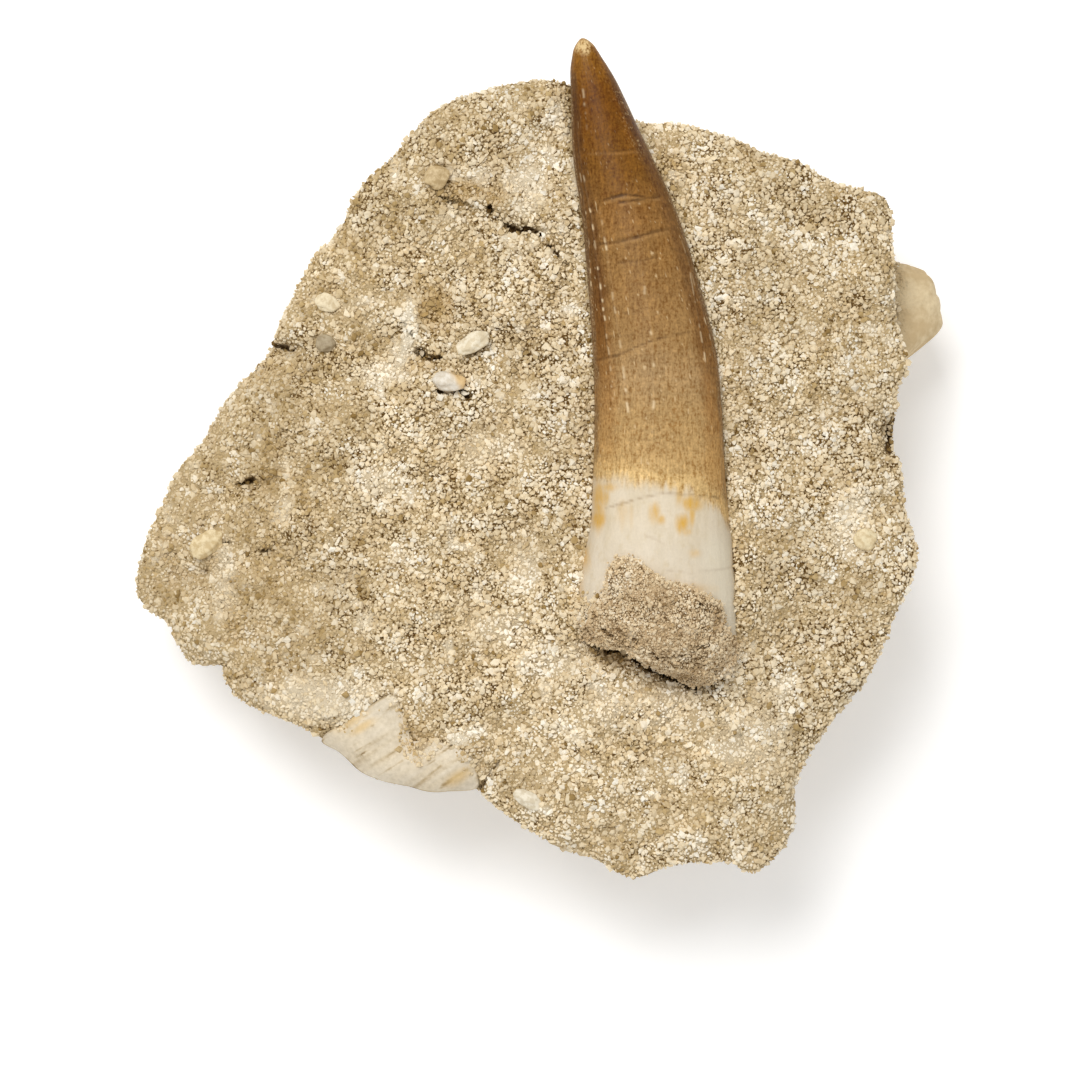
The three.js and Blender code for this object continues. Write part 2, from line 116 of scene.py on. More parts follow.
# Soft noise from -1 to 1: hashed values at the corners of a lattice of this size, blended by the smooth step
def noise(x, y, z, size, seed):
    spots = np.stack(np.broadcast_arrays(x, y, z), -1) / size + 1000.5
    corner = np.floor(spots).astype(np.int64)
    blend = smooth(spots - corner)
    total = 0
    for k in range(8):
        step = np.array([k & 1, k >> 1 & 1, k >> 2 & 1])
        place = corner + step
        h = place[..., 0] * 73856093 ^ place[..., 1] * 19349663 ^ place[..., 2] * 83492791
        h = (h ^ seed * 2654435) & 0xFFFFFFFF
        for _ in range(2):
            h = ((h ^ h >> 16) * 73244475) & 0xFFFFFFFF
        weight = np.prod(np.where(step, blend, 1 - blend), -1)
        total = total + weight * ((h ^ h >> 16) / 2147483647.5 - 1)
    return total


# Noise added up over octaves, each of half the size and 0.55 of the strength
def cloud(x, y, z, size, seed, octaves=3):
    return sum(0.55**k * noise(x, y, z, size / 2**k, seed + 7 * k) for k in range(octaves))


# Shortest distance from each place to a broken line, seen from above
def lineDistance(x, y, line):
    nearest = np.full(np.shape(x), 1e9)
    for (ax, ay), (bx, by) in zip(line[:-1], line[1:]):
        dx, dy = bx - ax, by - ay
        t = np.clip(((x - ax) * dx + (y - ay) * dy) / (dx * dx + dy * dy), 0, 1)
        nearest = np.minimum(nearest, np.hypot(x - ax - t * dx, y - ay - t * dy))
    return nearest


# Two triangles for each cell of a grid of points, and the grid place of each corner
def gridTriangles(rows, columns, closed):
    row, column = np.mgrid[0 : rows - 1, 0 : columns if closed else columns - 1]
    rowSteps, columnSteps = np.array([0, 0, 1, 0, 1, 1]), np.array([0, 1, 1, 0, 1, 0])
    r = row[..., None] + rowSteps
    c = column[..., None] + columnSteps
    places = np.stack([r, c], -1).reshape(-1, 3, 2)
    return (r * columns + c % columns).reshape(-1, 3), places


# Loops of points joined row to row, and a fan of triangles to one point at each end
def closedSkin(loops, start, end):
    rows, columns = loops.shape[:2]
    corners, places = gridTriangles(rows, columns, True)
    points = np.concatenate([loops.reshape(-1, 3), [start, end]])
    k = np.arange(columns)
    last, first = (rows - 1) * columns, rows * columns
    nextK = (k + 1) % columns
    startFan = np.stack([np.full(columns, first), nextK, k], -1)
    endFan = np.stack([np.full(columns, first + 1), last + k, last + nextK], -1)
    fanPlaces = np.stack([k * 0 - 1, k + 0.5, k * 0, k + 1, k * 0, k], -1).reshape(columns, 3, 2)
    startPlaces, endPlaces = fanPlaces, fanPlaces[:, [0, 2, 1]] * [-1, 1] + [rows - 1, 0]
    faces = np.concatenate([corners, startFan, endFan])
    flat = np.concatenate([places, startPlaces, endPlaces])
    uv = np.stack([flat[..., 1] / columns, (flat[..., 0] + 1) / (rows + 1)], -1)
    return points, faces, mapMargin + (1 - 2 * mapMargin) * uv


# A mesh from points in millimetres, turned inside out if the volume inside its triangles is negative
def makePiece(name, points, faces, uv, finish, node=None, attributes=None, rounded=True):
    a, b, c = (points[faces[:, k]] for k in range(3))
    if np.einsum("ij,ij->", a, np.cross(b, c)) < 0:
        faces, uv = faces[:, ::-1], uv[:, ::-1]
    mesh = bpy.data.meshes.new(name)
    mesh.vertices.add(len(points))
    mesh.vertices.foreach_set("co", (points * mm).astype(np.float32).ravel())
    mesh.loops.add(faces.size)
    mesh.loops.foreach_set("vertex_index", faces.astype(np.int32).ravel())
    mesh.polygons.add(len(faces))
    mesh.polygons.foreach_set("loop_start", np.arange(0, faces.size, 3, dtype=np.int32))
    mesh.polygons.foreach_set("use_smooth", np.full(len(faces), rounded))
    mesh.uv_layers.new(name="OFBake").data.foreach_set("uv", uv.astype(np.float32).ravel())
    for key, values in (attributes or {}).items():
        made = mesh.attributes.new(key, "FLOAT", "POINT")
        made.data.foreach_set("value", np.asarray(values, np.float32).ravel())
    mesh.update(calc_edges=True)
    mesh.materials.append(finish)
    piece = bpy.data.objects.new(name, mesh)
    bpy.context.scene.collection.objects.link(piece)
    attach(piece, "root")
    if node:
        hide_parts(node)
    print(name, len(faces), "triangles")


# One output of a node. An operator on it adds a Math node
class Wire:
    def __init__(self, finish, socket):
        self.finish, self.socket = finish, socket

    def __add__(self, other):
        return self.finish.maths("ADD", self, other)

    def __radd__(self, other):
        return self.finish.maths("ADD", other, self)

    def __sub__(self, other):
        return self.finish.maths("SUBTRACT", self, other)

    def __rsub__(self, other):
        return self.finish.maths("SUBTRACT", other, self)

    def __mul__(self, other):
        return self.finish.maths("MULTIPLY", self, other)

    def __rmul__(self, other):
        return self.finish.maths("MULTIPLY", other, self)

    def __truediv__(self, other):
        return self.finish.maths("DIVIDE", self, other)


# A material with its shader. node() adds any node, sets it up and gives one of its outputs
class Finish:
    def __init__(self, name, constants):
        self.material = bpy.data.materials.new(name)
        self.material.use_nodes = True
        self.tree = self.material.node_tree
        self.shader = self.tree.nodes["Principled BSDF"]
        for key, value in constants.items():
            self.shader.inputs[key].default_value = value

    def node(self, kind, settings=None, inputs=None, output=0):
        made = self.tree.nodes.new(kind)
        for key, value in (settings or {}).items():
            if key == "stops":
                ramp = made.color_ramp.elements
                for _ in value[2:]:
                    ramp.new(0.5)
                for element, (position, colour) in zip(ramp, value):
                    element.position, element.color = position, colour
            else:
                setattr(made, key, value)
        for key, value in (inputs or {}).items():
            self.put(made.inputs[key], value)
        return Wire(self, made.outputs[output])

    def put(self, socket, value):
        if isinstance(value, Wire):
            self.tree.links.new(value.socket, socket)
        else:
            socket.default_value = value

    def maths(self, operation, a, b):
        return self.node("ShaderNodeMath", {"operation": operation}, {0: a, 1: b})

    def mix(self, share, a, b, blend="MIX"):
        settings = {"data_type": "RGBA", "blend_type": blend}
        return self.node("ShaderNodeMix", settings, {0: share, 6: a, 7: b}, 2)

    def lit(self, colour, strength):
        return self.node("ShaderNodeVectorMath", {"operation": "SCALE"}, {0: colour, "Scale": strength})

    def mask(self, value, low, high):
        settings = {"interpolation_type": "SMOOTHSTEP"}
        return self.node("ShaderNodeMapRange", settings, {"Value": value, "From Min": low, "From Max": high})

    def ramp(self, value, stops):
        return self.node("ShaderNodeValToRGB", {"stops": stops}, {0: value})

    def kept(self, name):
        return self.node("ShaderNodeAttribute", {"attribute_name": name}, None, 2)

    # Noise over a place that is first stretched by three numbers
    def grain(self, place, stretch, detail=2.0, rough=0.5):
        spread = self.node("ShaderNodeVectorMath", {"operation": "MULTIPLY"}, {0: place, 1: stretch})
        inputs = {"Vector": spread, "Scale": 1.0, "Detail": detail, "Roughness": rough}
        return self.node("ShaderNodeTexNoise", {"noise_dimensions": "3D"}, inputs)

    def place(self):
        return self.node("ShaderNodeTexCoord", None, None, 3)  # Object coordinates, in metres

    def bump(self, height, strength, distance):
        inputs = {"Height": height, "Strength": strength, "Distance": distance}
        self.put(self.shader.inputs["Normal"], self.node("ShaderNodeBump", None, inputs))

    def paint(self, colour, roughness=None):
        self.put(self.shader.inputs["Base Color"], colour)
        if roughness is not None:
            self.put(self.shader.inputs["Roughness"], roughness)
        return self.material


# A screen colour from 0 to 255 as the linear colour that the shader takes
def tint(red, green, blue):
    return tuple(((c / 255 + 0.055) / 1.055) ** 2.4 for c in (red, green, blue)) + (1.0,)


# Slab of rock: the outline and top face of the solid, and the grid and cracks of its ground
slab = {
    "top": 17.2, "relief": 0.26, "rimShare": 0.14, "rimDrop": 1.5,
    "leftFrom": -13, "leftOver": 20, "leftDrop": 4.6,
    "footHeight": 3.0, "footInset": 3.6,
    "sideMost": 0.1, "sideWaves": 0.55,  # how far the sides may stand out, and how rough they are
    "centre": (1.6, -1.8),
    "rim": [
        (-0.2, 30.5), (-4.2, 29.8), (-7.9, 28.4), (-11.9, 24.4), (-14.4, 22.0), (-16.5, 17.9),
        (-18.0, 16.7), (-20.0, 13.2), (-21.7, 9.4), (-22.4, 8.0), (-25.5, 4.8), (-27.5, 1.4),
        (-29.6, -0.9), (-31.0, -4.0), (-32.6, -7.9), (-32.9, -11.1), (-31.7, -12.5), (-30.3, -13.5),
        (-29.8, -14.7), (-28.7, -16.4), (-27.6, -16.8), (-26.0, -16.8), (-25.8, -17.8), (-24.3, -19.6),
        (-19.5, -21.6), (-16.3, -23.6), (-15.1, -24.7), (-13.0, -25.9), (-10.7, -26.4), (-7.6, -26.8),
        (-5.0, -26.8), (-3.8, -27.9), (-1.4, -29.7), (0.3, -30.6), (3.8, -32.0), (7.6, -33.8),
        (10.7, -32.8), (15.5, -32.5), (16.3, -33.2), (17.8, -33.1), (19.5, -31.4), (20.3, -30.0),
        (20.6, -26.3), (23.1, -21.8), (26.1, -18.1), (28.7, -12.5), (30.2, -8.9), (30.4, -7.2),
        (29.5, -4.4), (29.0, -0.4), (28.6, 0.8), (28.8, 5.5), (29.6, 7.6), (28.7, 11.1), (28.4, 16.3),
        (28.2, 20.2), (27.5, 21.2), (26.1, 21.6), (23.4, 22.4), (21.5, 23.6), (17.5, 24.9), (14.7, 26.1),
        (11.5, 26.9), (8.4, 27.1), (6.4, 27.9), (4.0, 29.5), (1.0, 30.4),
    ],
    # hollows: x, y, half width, half length, depth
    "pits": [
        (-20.6, 8.8, 1.5, 0.9, 1.5), (27.9, 1.9, 1.1, 1.8, 2.0), (-22.8, -2.3, 1.3, 0.7, 0.9),
        (-27.2, -9.2, 1.5, 0.8, 0.7), (-9.2, -22.6, 1.9, 2.3, 0.8),
    ],
    # broken steps: line, height of the lip above it, depth of the trough below it
    "steps": [
        ([(-6.6, 20.6), (-2.6, 19.3), (-1.0, 18.2), (0.8, 18.2), (3.0, 15.4)], 0.9, 0.6),
        ([(-10.4, 9.0), (-9.0, 8.4), (-7.6, 7.4)], 0.3, 0.4),
        ([(2.6, -14.2), (5.0, -15.3), (8.2, -16.9), (12.6, -18.5), (14.6, -17.4)], 0, 0.9),
    ],
    "lipReach": 2.6, "ramp": 1.6, "trough": 1.4, "fade": 1.4,
    "bankFrom": 2, "bankOver": 8, "bankRise": 1.0, "bankReach": 2.2,
    "knobAngle": 0.43, "knobBelow": 0.085, "knobAbove": 0.14,
    "knobHeight": 6.5, "knobTall": 5.2, "knobReach": 5.2,
    "sink": 0.2,  # the ground under the sand lies this far inside the solid
    "cells": 130, "sideRows": 18, "underRows": 6,
    # shares of the rim's radius where the flatter part and the flat spot of the underside begin
    "underWide": 0.78, "underNarrow": 0.6, "underHeight": 0.9,
    "topMap": 0.66, "sideMapFrom": 0.69, "sideMap": 0.3,  # parts of the map for the top and for the side
    "crackFull": 0.9,  # cracks of this depth get the darkest painted shade
    "toneAt": 17.0,  # height at which the colours of its sand are looked up
    "seatReach": 0.7, "seatDrop": 0.25, "mostSeat": 0.9,  # the ground banked up against the tooth
    # narrow cracks in the ground: line, half width, depth
    "cracks": [
        ([(-8.0, 20.8), (-5.75, 20.3), (-4.0, 20.0)], 0.16, 0.5),
        ([(-4.0, 20.0), (-3.4, 19.3), (-2.4, 18.55), (-1.9, 18.05), (-0.8, 18.4), (0.1, 17.9)], 0.18, 0.75),
        ([(0.1, 17.9), (0.7, 16.9), (1.5, 16.0), (2.2, 15.4)], 0.16, 0.95),
        ([(-21.9, 9.3), (-20.8, 8.9), (-19.8, 8.7)], 0.3, 0.9),
        ([(-9.75, 8.6), (-8.8, 8.0), (-8.0, 8.0)], 0.17, 0.7),
        ([(-8.2, 5.35), (-7.2, 5.2), (-6.4, 5.4), (-5.75, 5.0)], 0.18, 0.9),
        ([(-6.4, 7.8), (-5.6, 8.0), (-4.95, 8.5)], 0.12, 0.4),
        ([(-4.95, -26.5), (-3.99, -25.33), (-3.2, -24.29)], 0.15, 0.5),
        ([(12.8, -18.5), (10.2, -21.1), (8.0, -24.1)], 0.12, 0.3),
        ([(-10.95, 10.85), (-10.25, 9.75)], 0.1, 0.4),
        ([(3.4, -14.6), (4.3, -15.1), (5.3, -15.5), (6.4, -15.4), (7.5, -15.9)], 0.18, 0.95),
        ([(7.5, -15.9), (8.6, -16.8), (9.7, -17.25), (10.6, -17.55), (11.6, -18.1), (12.6, -18.3)],
         0.24, 1.1),
        ([(12.6, -18.3), (13.9, -17.8)], 0.16, 0.5),
        ([(28.9, 3.6), (28.0, 2.4), (28.2, 0.9)], 0.5, 0.9),
        ([(-24.3, -2.0), (-23.2, -1.8)], 0.2, 0.8),
        ([(-25.8, -6.7), (-25.0, -6.7)], 0.2, 0.75),
        ([(-22.6, -7.4), (-21.6, -7.4)], 0.2, 0.65),
        ([(-27.5, -9.1), (-27.0, -9.0)], 0.22, 0.55),
        ([(-25.6, -9.9), (-24.9, -10.0)], 0.22, 0.55),
        ([(17.4, 7.9), (18.3, 7.7), (19.0, 7.75)], 0.1, 0.6),
    ],
}

# Tooth: the shape of the solid
toothShape = {
    "stations": [
        # y, x of the axis, height of the axis, radius
        (33.3, 3.37, 19.2, 0.55), (32.1, 3.57, 19.2, 1.04), (30.9, 3.82, 19.1, 1.49),
        (28.8, 4.42, 19.0, 2.03), (24.5, 5.46, 18.7, 2.93), (18.9, 7.11, 18.4, 3.78),
        (13.1, 8.3, 18.1, 4.47), (7.8, 9.15, 17.9, 4.93), (2.6, 9.46, 17.7, 5.13),
        (-2.0, 9.51, 17.6, 5.33), (-5.0, 9.58, 17.3, 5.59), (-8.0, 9.49, 16.9, 6.14),
        (-10.6, 9.36, 16.5, 6.6), (-13.0, 9.24, 16.15, 6.6), (-14.2, 9.2, 16.0, 6.2),
        (-15.0, 9.15, 15.95, 5.4),
    ],
    "depth": 0.88, "rootBreak": 0.28, "nose": 0.9,
}
stations = np.array(toothShape["stations"])
tipY, rootY = stations[0, 0], stations[-1, 0]


# Axis and radius of the tooth at y: curves through the stations, and a round nose at the tip
def toothAt(y):
    x, z, radius = (curveAt(-stations[:, 0], stations[:, k], -y) for k in (1, 2, 3))
    fromTip = np.clip((tipY - y) / toothShape["nose"], 0, 1)
    return x, z, radius * np.sqrt(1 - (1 - fromTip) ** 2)


# How far the loops lean back on the right: nothing on the crown, rootBreak at the root end
def rootSlope(y):
    return toothShape["rootBreak"] * smooth((y + 8) / (rootY + 8))


# Seen from above: y along the leaning loops, the axis height and radius there, and the distance to the axis
def toothAcross(x, y):
    along = y + rootSlope(y) * (x - toothAt(y)[0])
    axisX, axisZ, radius = toothAt(along)
    slant = np.arctan(toothAt(along + 0.5)[0] - toothAt(along - 0.5)[0])
    return along, axisZ, radius, np.abs(x - axisX) * np.cos(slant)


# The same without the first, and past the root's end as at the end
def toothBeside(x, y):
    return toothAcross(x, np.maximum(y, rootY))[1:]


# Height of the tooth's upper face: its axis plus the flattened circle's height at that distance
def toothTop(x, y):
    _, axisZ, radius, off = toothAcross(x, y)
    return axisZ + toothShape["depth"] * np.sqrt(np.maximum(0, radius**2 - off**2))


# A broken step: a lip that rises over its line and dies away above it, and a trough along the line
def stepRelief(line, lip, deep, x, y):
    xs, ys = np.array(line).T
    share = smooth(np.minimum(x - xs[0], xs[-1] - x) / slab["fade"])
    above = y - curveAt(xs, ys, x)
    raised = lip * smooth(0.5 + above / slab["ramp"]) * bell(above / slab["lipReach"])
    return share * (raised - deep * bell(above / slab["trough"]))


rimRadius = outlineRadius(slab["rim"], slab["centre"])


# Share of the way from the slab's middle to its rim
def rimShare(x, y):
    return outlineShare(x, y, rimRadius, slab["centre"])


# Height of the solid's top face: level, plus waves, less the falls at the rim and the left, pits and steps
def topHeight(x, y):
    rim = np.clip((rimShare(x, y) - 1 + slab["rimShare"]) / slab["rimShare"], 0, 1)
    z = slab["top"] + slab["relief"] * rockWaves(x, y, 0) - slab["rimDrop"] * rim**3
    z = z - slab["leftDrop"] * smooth((slab["leftFrom"] - x) / slab["leftOver"])
    for px, py, wide, long, deep in slab["pits"]:
        z = z - deep * bell(np.hypot((x - px) / wide, (y - py) / long))
    for line, lip, deep in slab["steps"]:
        z = z + stepRelief(line, lip, deep, x, y)
    _, radius, off = toothBeside(x, y)
    bank = smooth((slab["bankFrom"] - y) / slab["bankOver"]) * smooth((y - rootY) / 2)
    return z + slab["bankRise"] * bank * bell(np.maximum(0, off - radius) / slab["bankReach"])


# Crust of rock on the root
crust = {
    "centre": (9.2, -13.4),
    "outline": [
        (6.4, -7.9), (5.4, -9.0), (5.1, -10.6), (4.0, -12.3), (3.5, -14.6), (4.8, -15.0),
        (6.8, -15.3), (8.4, -16.4), (10.2, -17.2), (12.8, -18.0), (15.1, -16.8), (15.6, -15.1),
        (14.8, -13.7), (14.6, -12.3), (13.3, -11.0), (12.0, -10.4), (10.0, -9.8), (8.4, -8.7), (7.4, -8.0),
    ],
    "thick": 1.2, "edge": 0.5, "above": 1.0, "fallFrom": 0.7, "fallOver": 1.6,
    "columns": 260, "rings": 60, "wallRows": 12, "undercut": 0.3,
    "toneAt": 19.0,  # height at which the colours of its sand are looked up
    "endLean": 0.7,  # how far the root's broken end leans out under it
    "crackFull": 0.4,
    "cracks": [
        ([(10.9, -15.75), (11.7, -15.5), (12.4, -15.1), (13.3, -14.85)], 0.1, 0.32),
        ([(6.6, -14.0), (7.6, -14.6)], 0.08, 0.22), ([(4.6, -13.3), (5.4, -14.0), (6.1, -14.2)], 0.1, 0.3),
        ([(12.6, -11.6), (13.2, -12.2), (13.9, -12.3)], 0.09, 0.3), ([(8.9, -15.6), (9.8, -16.2)], 0.09, 0.3),
    ],
}
# Flake of bone in the lower left rim
flake = {
    "centre": (-11.6, -24.4),
    "outline": [
        (-17.6, -22.8), (-15.6, -21.2), (-13.6, -19.8), (-11.6, -19.0), (-10.9, -20.6), (-10.2, -22.6),
        (-7.4, -22.9), (-5.4, -23.9), (-5.0, -25.4), (-5.1, -26.5), (-7.5, -26.75), (-10.6, -26.3),
        (-12.9, -25.8), (-15.0, -24.7), (-16.2, -23.6),
    ],
    "thick": 1.6, "crown": 0.25, "columns": 260, "rings": 50, "wallRows": 6,
    "grain": math.radians(33),  # direction of its fibres
    "splits": [
        [(-17.8, -22.5), (-16.8, -21.9), (-15.9, -21.0)], [(-9.9, -26.2), (-8.8, -25.3), (-7.9, -24.6)],
        [(-7.9, -26.2), (-6.9, -25.6), (-5.8, -24.9)], [(-13.4, -21.4), (-12.2, -20.2), (-11.8, -19.4)],
        [(-15.0, -23.6), (-13.6, -22.8)], [(-12.9, -25.4), (-11.0, -24.2)],
    ],
    # orange stains: x, y, half width and half length along the fibres
    "orange": [(-15.2, -20.9, 0.5, 1.4), (-14.2, -21.5, 0.3, 1.0), (-6.6, -25.6, 0.45, 1.0)],
    "bay": (-9.9, -22.9), "bayWide": 1.2, "bayLong": 1.9, "bayDepth": 1.4,  # where sand lies over it
}
crustPlain = outlineRadius(crust["outline"], crust["centre"])


# Radius of the crust's edge: its outline with ragged noise round it
def crustRadius(angle):
    c, s = np.cos(angle), np.sin(angle)
    coarse, fine = noise(c * 6, s * 6, 0, 1.1, 101), noise(c * 6, s * 6, 0, 0.4, 102)
    return crustPlain(angle) + 0.28 * coarse + 0.12 * fine


flakeRadius = outlineRadius(flake["outline"], flake["centre"])


# Share of the way from the crust's middle to its edge
def crustShare(x, y):
    return outlineShare(x, y, crustRadius, crust["centre"])


# Share of the way from the flake's middle to its edge
def flakeShare(x, y):
    return outlineShare(x, y, flakeRadius, flake["centre"])


# Place along and across the flake's fibres
def fibrePlace(x, y):
    c, s = math.cos(flake["grain"]), math.sin(flake["grain"])
    return x * c + y * s, y * c - x * s


# Top of the flake: the rock's top face plus a low crown, with fibres as low waves and flaked steps
def flakeTop(x, y, share):
    along, across = fibrePlace(x, y)
    fibres = 0.05 * noise(along / 9, across, 0, 0.35, 111) + 0.12 * noise(along / 5, across, 0, 1.1, 113)
    return topHeight(x, y) + flake["crown"] * (1.2 - share**2) + fibres - 0.12


# Stones, chips and shell in the top face: middle, half sizes and turn in degrees
chips = {
    "shell_fragment": {"at": (-7.3, 6.1), "size": (1.25, 0.8, 0.75), "turn": -6},
    "bone_chip": {"at": (-5.4, 9.2), "size": (1.45, 0.75, 0.5), "turn": 28},
    "grey_pebble": {"at": (-17.2, 9.2), "size": (0.75, 0.7, 0.45), "turn": 0},
    "pale_chip": {"at": (-17.0, 12.4), "size": (0.95, 0.7, 0.45), "turn": -15},
    "round_pebble": {"at": (-8.2, 22.4), "size": (1.05, 0.85, 0.5), "turn": 20},
    "cream_lump": {"at": (-27.0, -6.9), "size": (1.5, 0.95, 0.6), "turn": 35},
    "right_chip": {"at": (26.0, -6.5), "size": (1.0, 0.85, 0.45), "turn": -30},
    "lower_chip": {"at": (-0.9, -27.3), "size": (1.2, 0.65, 0.45), "turn": -28},
}


# Share of the way out of a chip's oval, seen from above
def chipShare(chip, x, y):
    turn = math.radians(chip["turn"])
    dx, dy = x - chip["at"][0], y - chip["at"][1]
    u = dx * math.cos(turn) + dy * math.sin(turn)
    v = dy * math.cos(turn) - dx * math.sin(turn)
    return np.hypot(u / chip["size"][0], v / chip["size"][1])


# The spot at 31, 12 lies on the knob's side: partly its pale cement and partly painted light, as that side
# gets less light
paleSpots = [
    # x, y, half width, half length, strength
    (-10.5, 10.3, 0.6, 2.2, 1.0), (-11.2, 8.2, 0.8, 1.0, 0.8), (2.3, 11.9, 0.6, 0.32, 1.0),
    (-2.7, 17.6, 0.45, 0.3, 1.0), (31.0, 12.0, 2.6, 2.8, 0.25), (-0.8, 21.6, 1.6, 2.2, 0.75),
    (-4.4, 0.6, 2.2, 1.4, 0.35), (-2.0, 1.0, 1.0, 0.8, 0.3), (8.8, -20.0, 5.0, 1.9, 0.35),
    (-17.6, -19.3, 4.6, 1.9, 0.7), (-12.6, 7.0, 2.0, 1.2, 0.6), (-14.0, -13.0, 1.2, 1.0, 0.6),
    (-3.0, -13.5, 2.6, 1.4, 0.35), (-1.0, -9.0, 1.4, 1.8, 0.5), (24.8, -5.0, 1.6, 2.6, 0.7),
    (-25.5, -9.5, 1.0, 3.0, 0.6), (-5.0, 22.5, 1.2, 1.0, 0.5), (-13.0, -2.0, 2.4, 1.2, 0.5),
    (17.0, -22.0, 3.2, 3.4, 0.45), (0.8, -16.0, 2.4, 1.4, 0.4), (-6.6, -22.6, 0.8, 0.45, 1.0),
    (-5.2, -21.9, 0.9, 0.4, 0.8), (13.9, 4.6, 0.5, 2.2, 0.9), (13.0, 9.0, 0.4, 1.6, 0.8),
]
ochreSpots = [
    # x, y, half width, half length, strength
    (-8.2, 11.9, 1.2, 1.7, 0.9), (-6.4, 21.4, 2.6, 0.9, 0.8), (-3.6, 20.9, 1.2, 0.7, 0.7),
    (-9.6, 7.6, 1.4, 0.8, 0.6), (-9.9, -22.2, 1.2, 2.0, 0.4), (-5.6, -23.3, 1.0, 0.7, 0.5),
    (10.3, 23.8, 1.2, 1.6, 0.3), (16.6, 24.9, 0.9, 0.8, 0.4),
]


# Depth of the narrow cracks: the sum of a bell across each ragged line, which opens and closes along its way
def crackDepth(x, y, cracks):
    wander = 0.16 * noise(x, y, 5, 0.9, 21) + 0.12 * noise(x, y, 5, 0.35, 23)
    opening = np.clip(1.0 + 0.45 * noise(x, y, 9, 1.0, 25), 0.65, 1.3)
    total = 0
    for line, wide, deep in cracks:
        total = total + deep * opening * bell((lineDistance(x, y, line) + wander) / (wide * opening))
    return total


# Share of painted shade that the cracks of a shape give a place: 1 where they are deep
def crackShadeShare(shape, x, y):
    return np.clip(crackDepth(x, y, shape["cracks"]) / shape["crackFull"], 0, 1)


# Share of the strongest spot at a place: ovals that fade out at an edge moved by ragged
def spotShare(spots, share, ragged, x, y):
    for px, py, wide, long, strength in spots:
        fromMiddle = np.hypot((x - px) / wide, (y - py) / long)
        share = np.maximum(share, strength * smooth(1.5 - fromMiddle + ragged))
    return share


# Share of pale cement: the pale spots with ragged edges, and small flecks where noise is high
def paleShare(x, y, z):
    ragged = 0.35 * noise(x, y, z, 1.2, 57) + 0.2 * noise(x, y, z, 0.5, 58)
    pale = spotShare(paleSpots, 0, ragged, x, y)
    pale = pale * np.maximum(smooth((z - 11.5) / 3), smooth((x - 28) / 1.5))
    return np.maximum(pale, 0.7 * smooth(2.6 * noise(x, y, z, 1.1, 61) - 1.15))


# Share of ochre: the ochre spots with ragged edges, and a little over the whole left side
def ochreShare(x, y, z):
    ragged = 0.4 * noise(x, y, z, 1.0, 59) + 0.25 * noise(x, y, z, 0.4, 60)
    return spotShare(ochreSpots, 0.15 * bell((x + 22) / 5), ragged, x, y)


# Share of cement that fills the gaps: patchy, more of it in the pale spots and at the low left end
def cementShare(x, y, z):
    patchy = 0.5 + 0.45 * cloud(x, y, z, 2.2, 53, 3)
    calm = 0.25 * smooth((-x - 12) / 8) + 0.3 * smooth((-x - 21) / 8) + 0.25 * smooth((-y - 18) / 7)
    return np.clip(patchy + calm + 0.4 * paleShare(x, y, z), 0, 1)


# Ground between the grains: the top face sunk a little, with clumps and cracks, banked up at the tooth
def openGround(x, y):
    z = topHeight(x, y) - slab["sink"]
    z = z + 0.26 * cloud(x, y, 0, 2.2, 3, 2) + 0.2 * noise(x, y, 0, 0.75, 9)
    z = z + 0.1 * (cementShare(x, y, 17) - 0.5)
    axisZ, radius, off = toothBeside(x, y)
    seat = bell(np.maximum(0, off - radius) / slab["seatReach"])
    seat = seat * smooth((y - rootY) / 1.5) * smooth((27 - y) / 4)
    raised = np.clip(axisZ - slab["seatDrop"] - z, 0, slab["mostSeat"])
    return z + seat * raised - crackDepth(x, y, slab["cracks"])


# How far the tooth's upper face stands over the open ground, below nothing beside the tooth
def toothCover(x, y):
    _, radius, off = toothBeside(x, y)
    beside = (off > radius) | (y < rootY) | (y > tipY)
    return np.where(beside, -1, toothTop(x, y) - openGround(x, y))


# The open ground, hollowed where the tooth and the flake lie in it
def groundHeight(x, y):
    z = openGround(x, y)
    axisZ, radius, off = toothBeside(x, y)
    under = axisZ - toothShape["depth"] * np.sqrt(np.maximum(0, radius**2 - off**2)) - 0.15
    z = np.where((toothCover(x, y) > 0.3) & (off < radius - 0.5), np.minimum(z, under), z)
    fromMiddle = flakeShare(x, y)
    hollow = flake["thick"] * (1 - 0.4 * fromMiddle) - 0.35
    return z - hollow * smooth((1.02 - fromMiddle) / 0.08)


# A point of the broken side: down is 0 at the rim and 1 at the foot
def sidePoint(angle, down, inward):
    rimR = rimRadius(angle) - inward
    rimX, rimY = placeAround(slab, angle, rimR)
    rimZ = groundHeight(rimX, rimY)
    z = rimZ + (slab["footHeight"] - rimZ) * down
    rough = rockWaves(rimX, rimY, 1.6 * z, 10.4) - 0.6
    turned = np.arctan2(np.sin(angle - slab["knobAngle"]), np.cos(angle - slab["knobAngle"]))
    sideways = turned / np.where(turned < 0, slab["knobBelow"], slab["knobAbove"])
    knob = slab["knobReach"] * bell(sideways**2) * bell(((z - slab["knobHeight"]) / slab["knobTall"]) ** 2)
    held = slab["sideWaves"] * smooth(down / 0.3) * (1 - 0.5 * down)
    out = np.minimum(slab["sideMost"], rough * held) - slab["footInset"] * down**4
    fine = smooth(down / 0.08) * (0.3 * cloud(rimX, rimY, z, 2.6, 33) - 0.25) * (1 - 0.5 * bell(sideways))
    x, y = placeAround(slab, angle, rimR + out + knob + fine)
    return np.stack([x, y, z], -1)


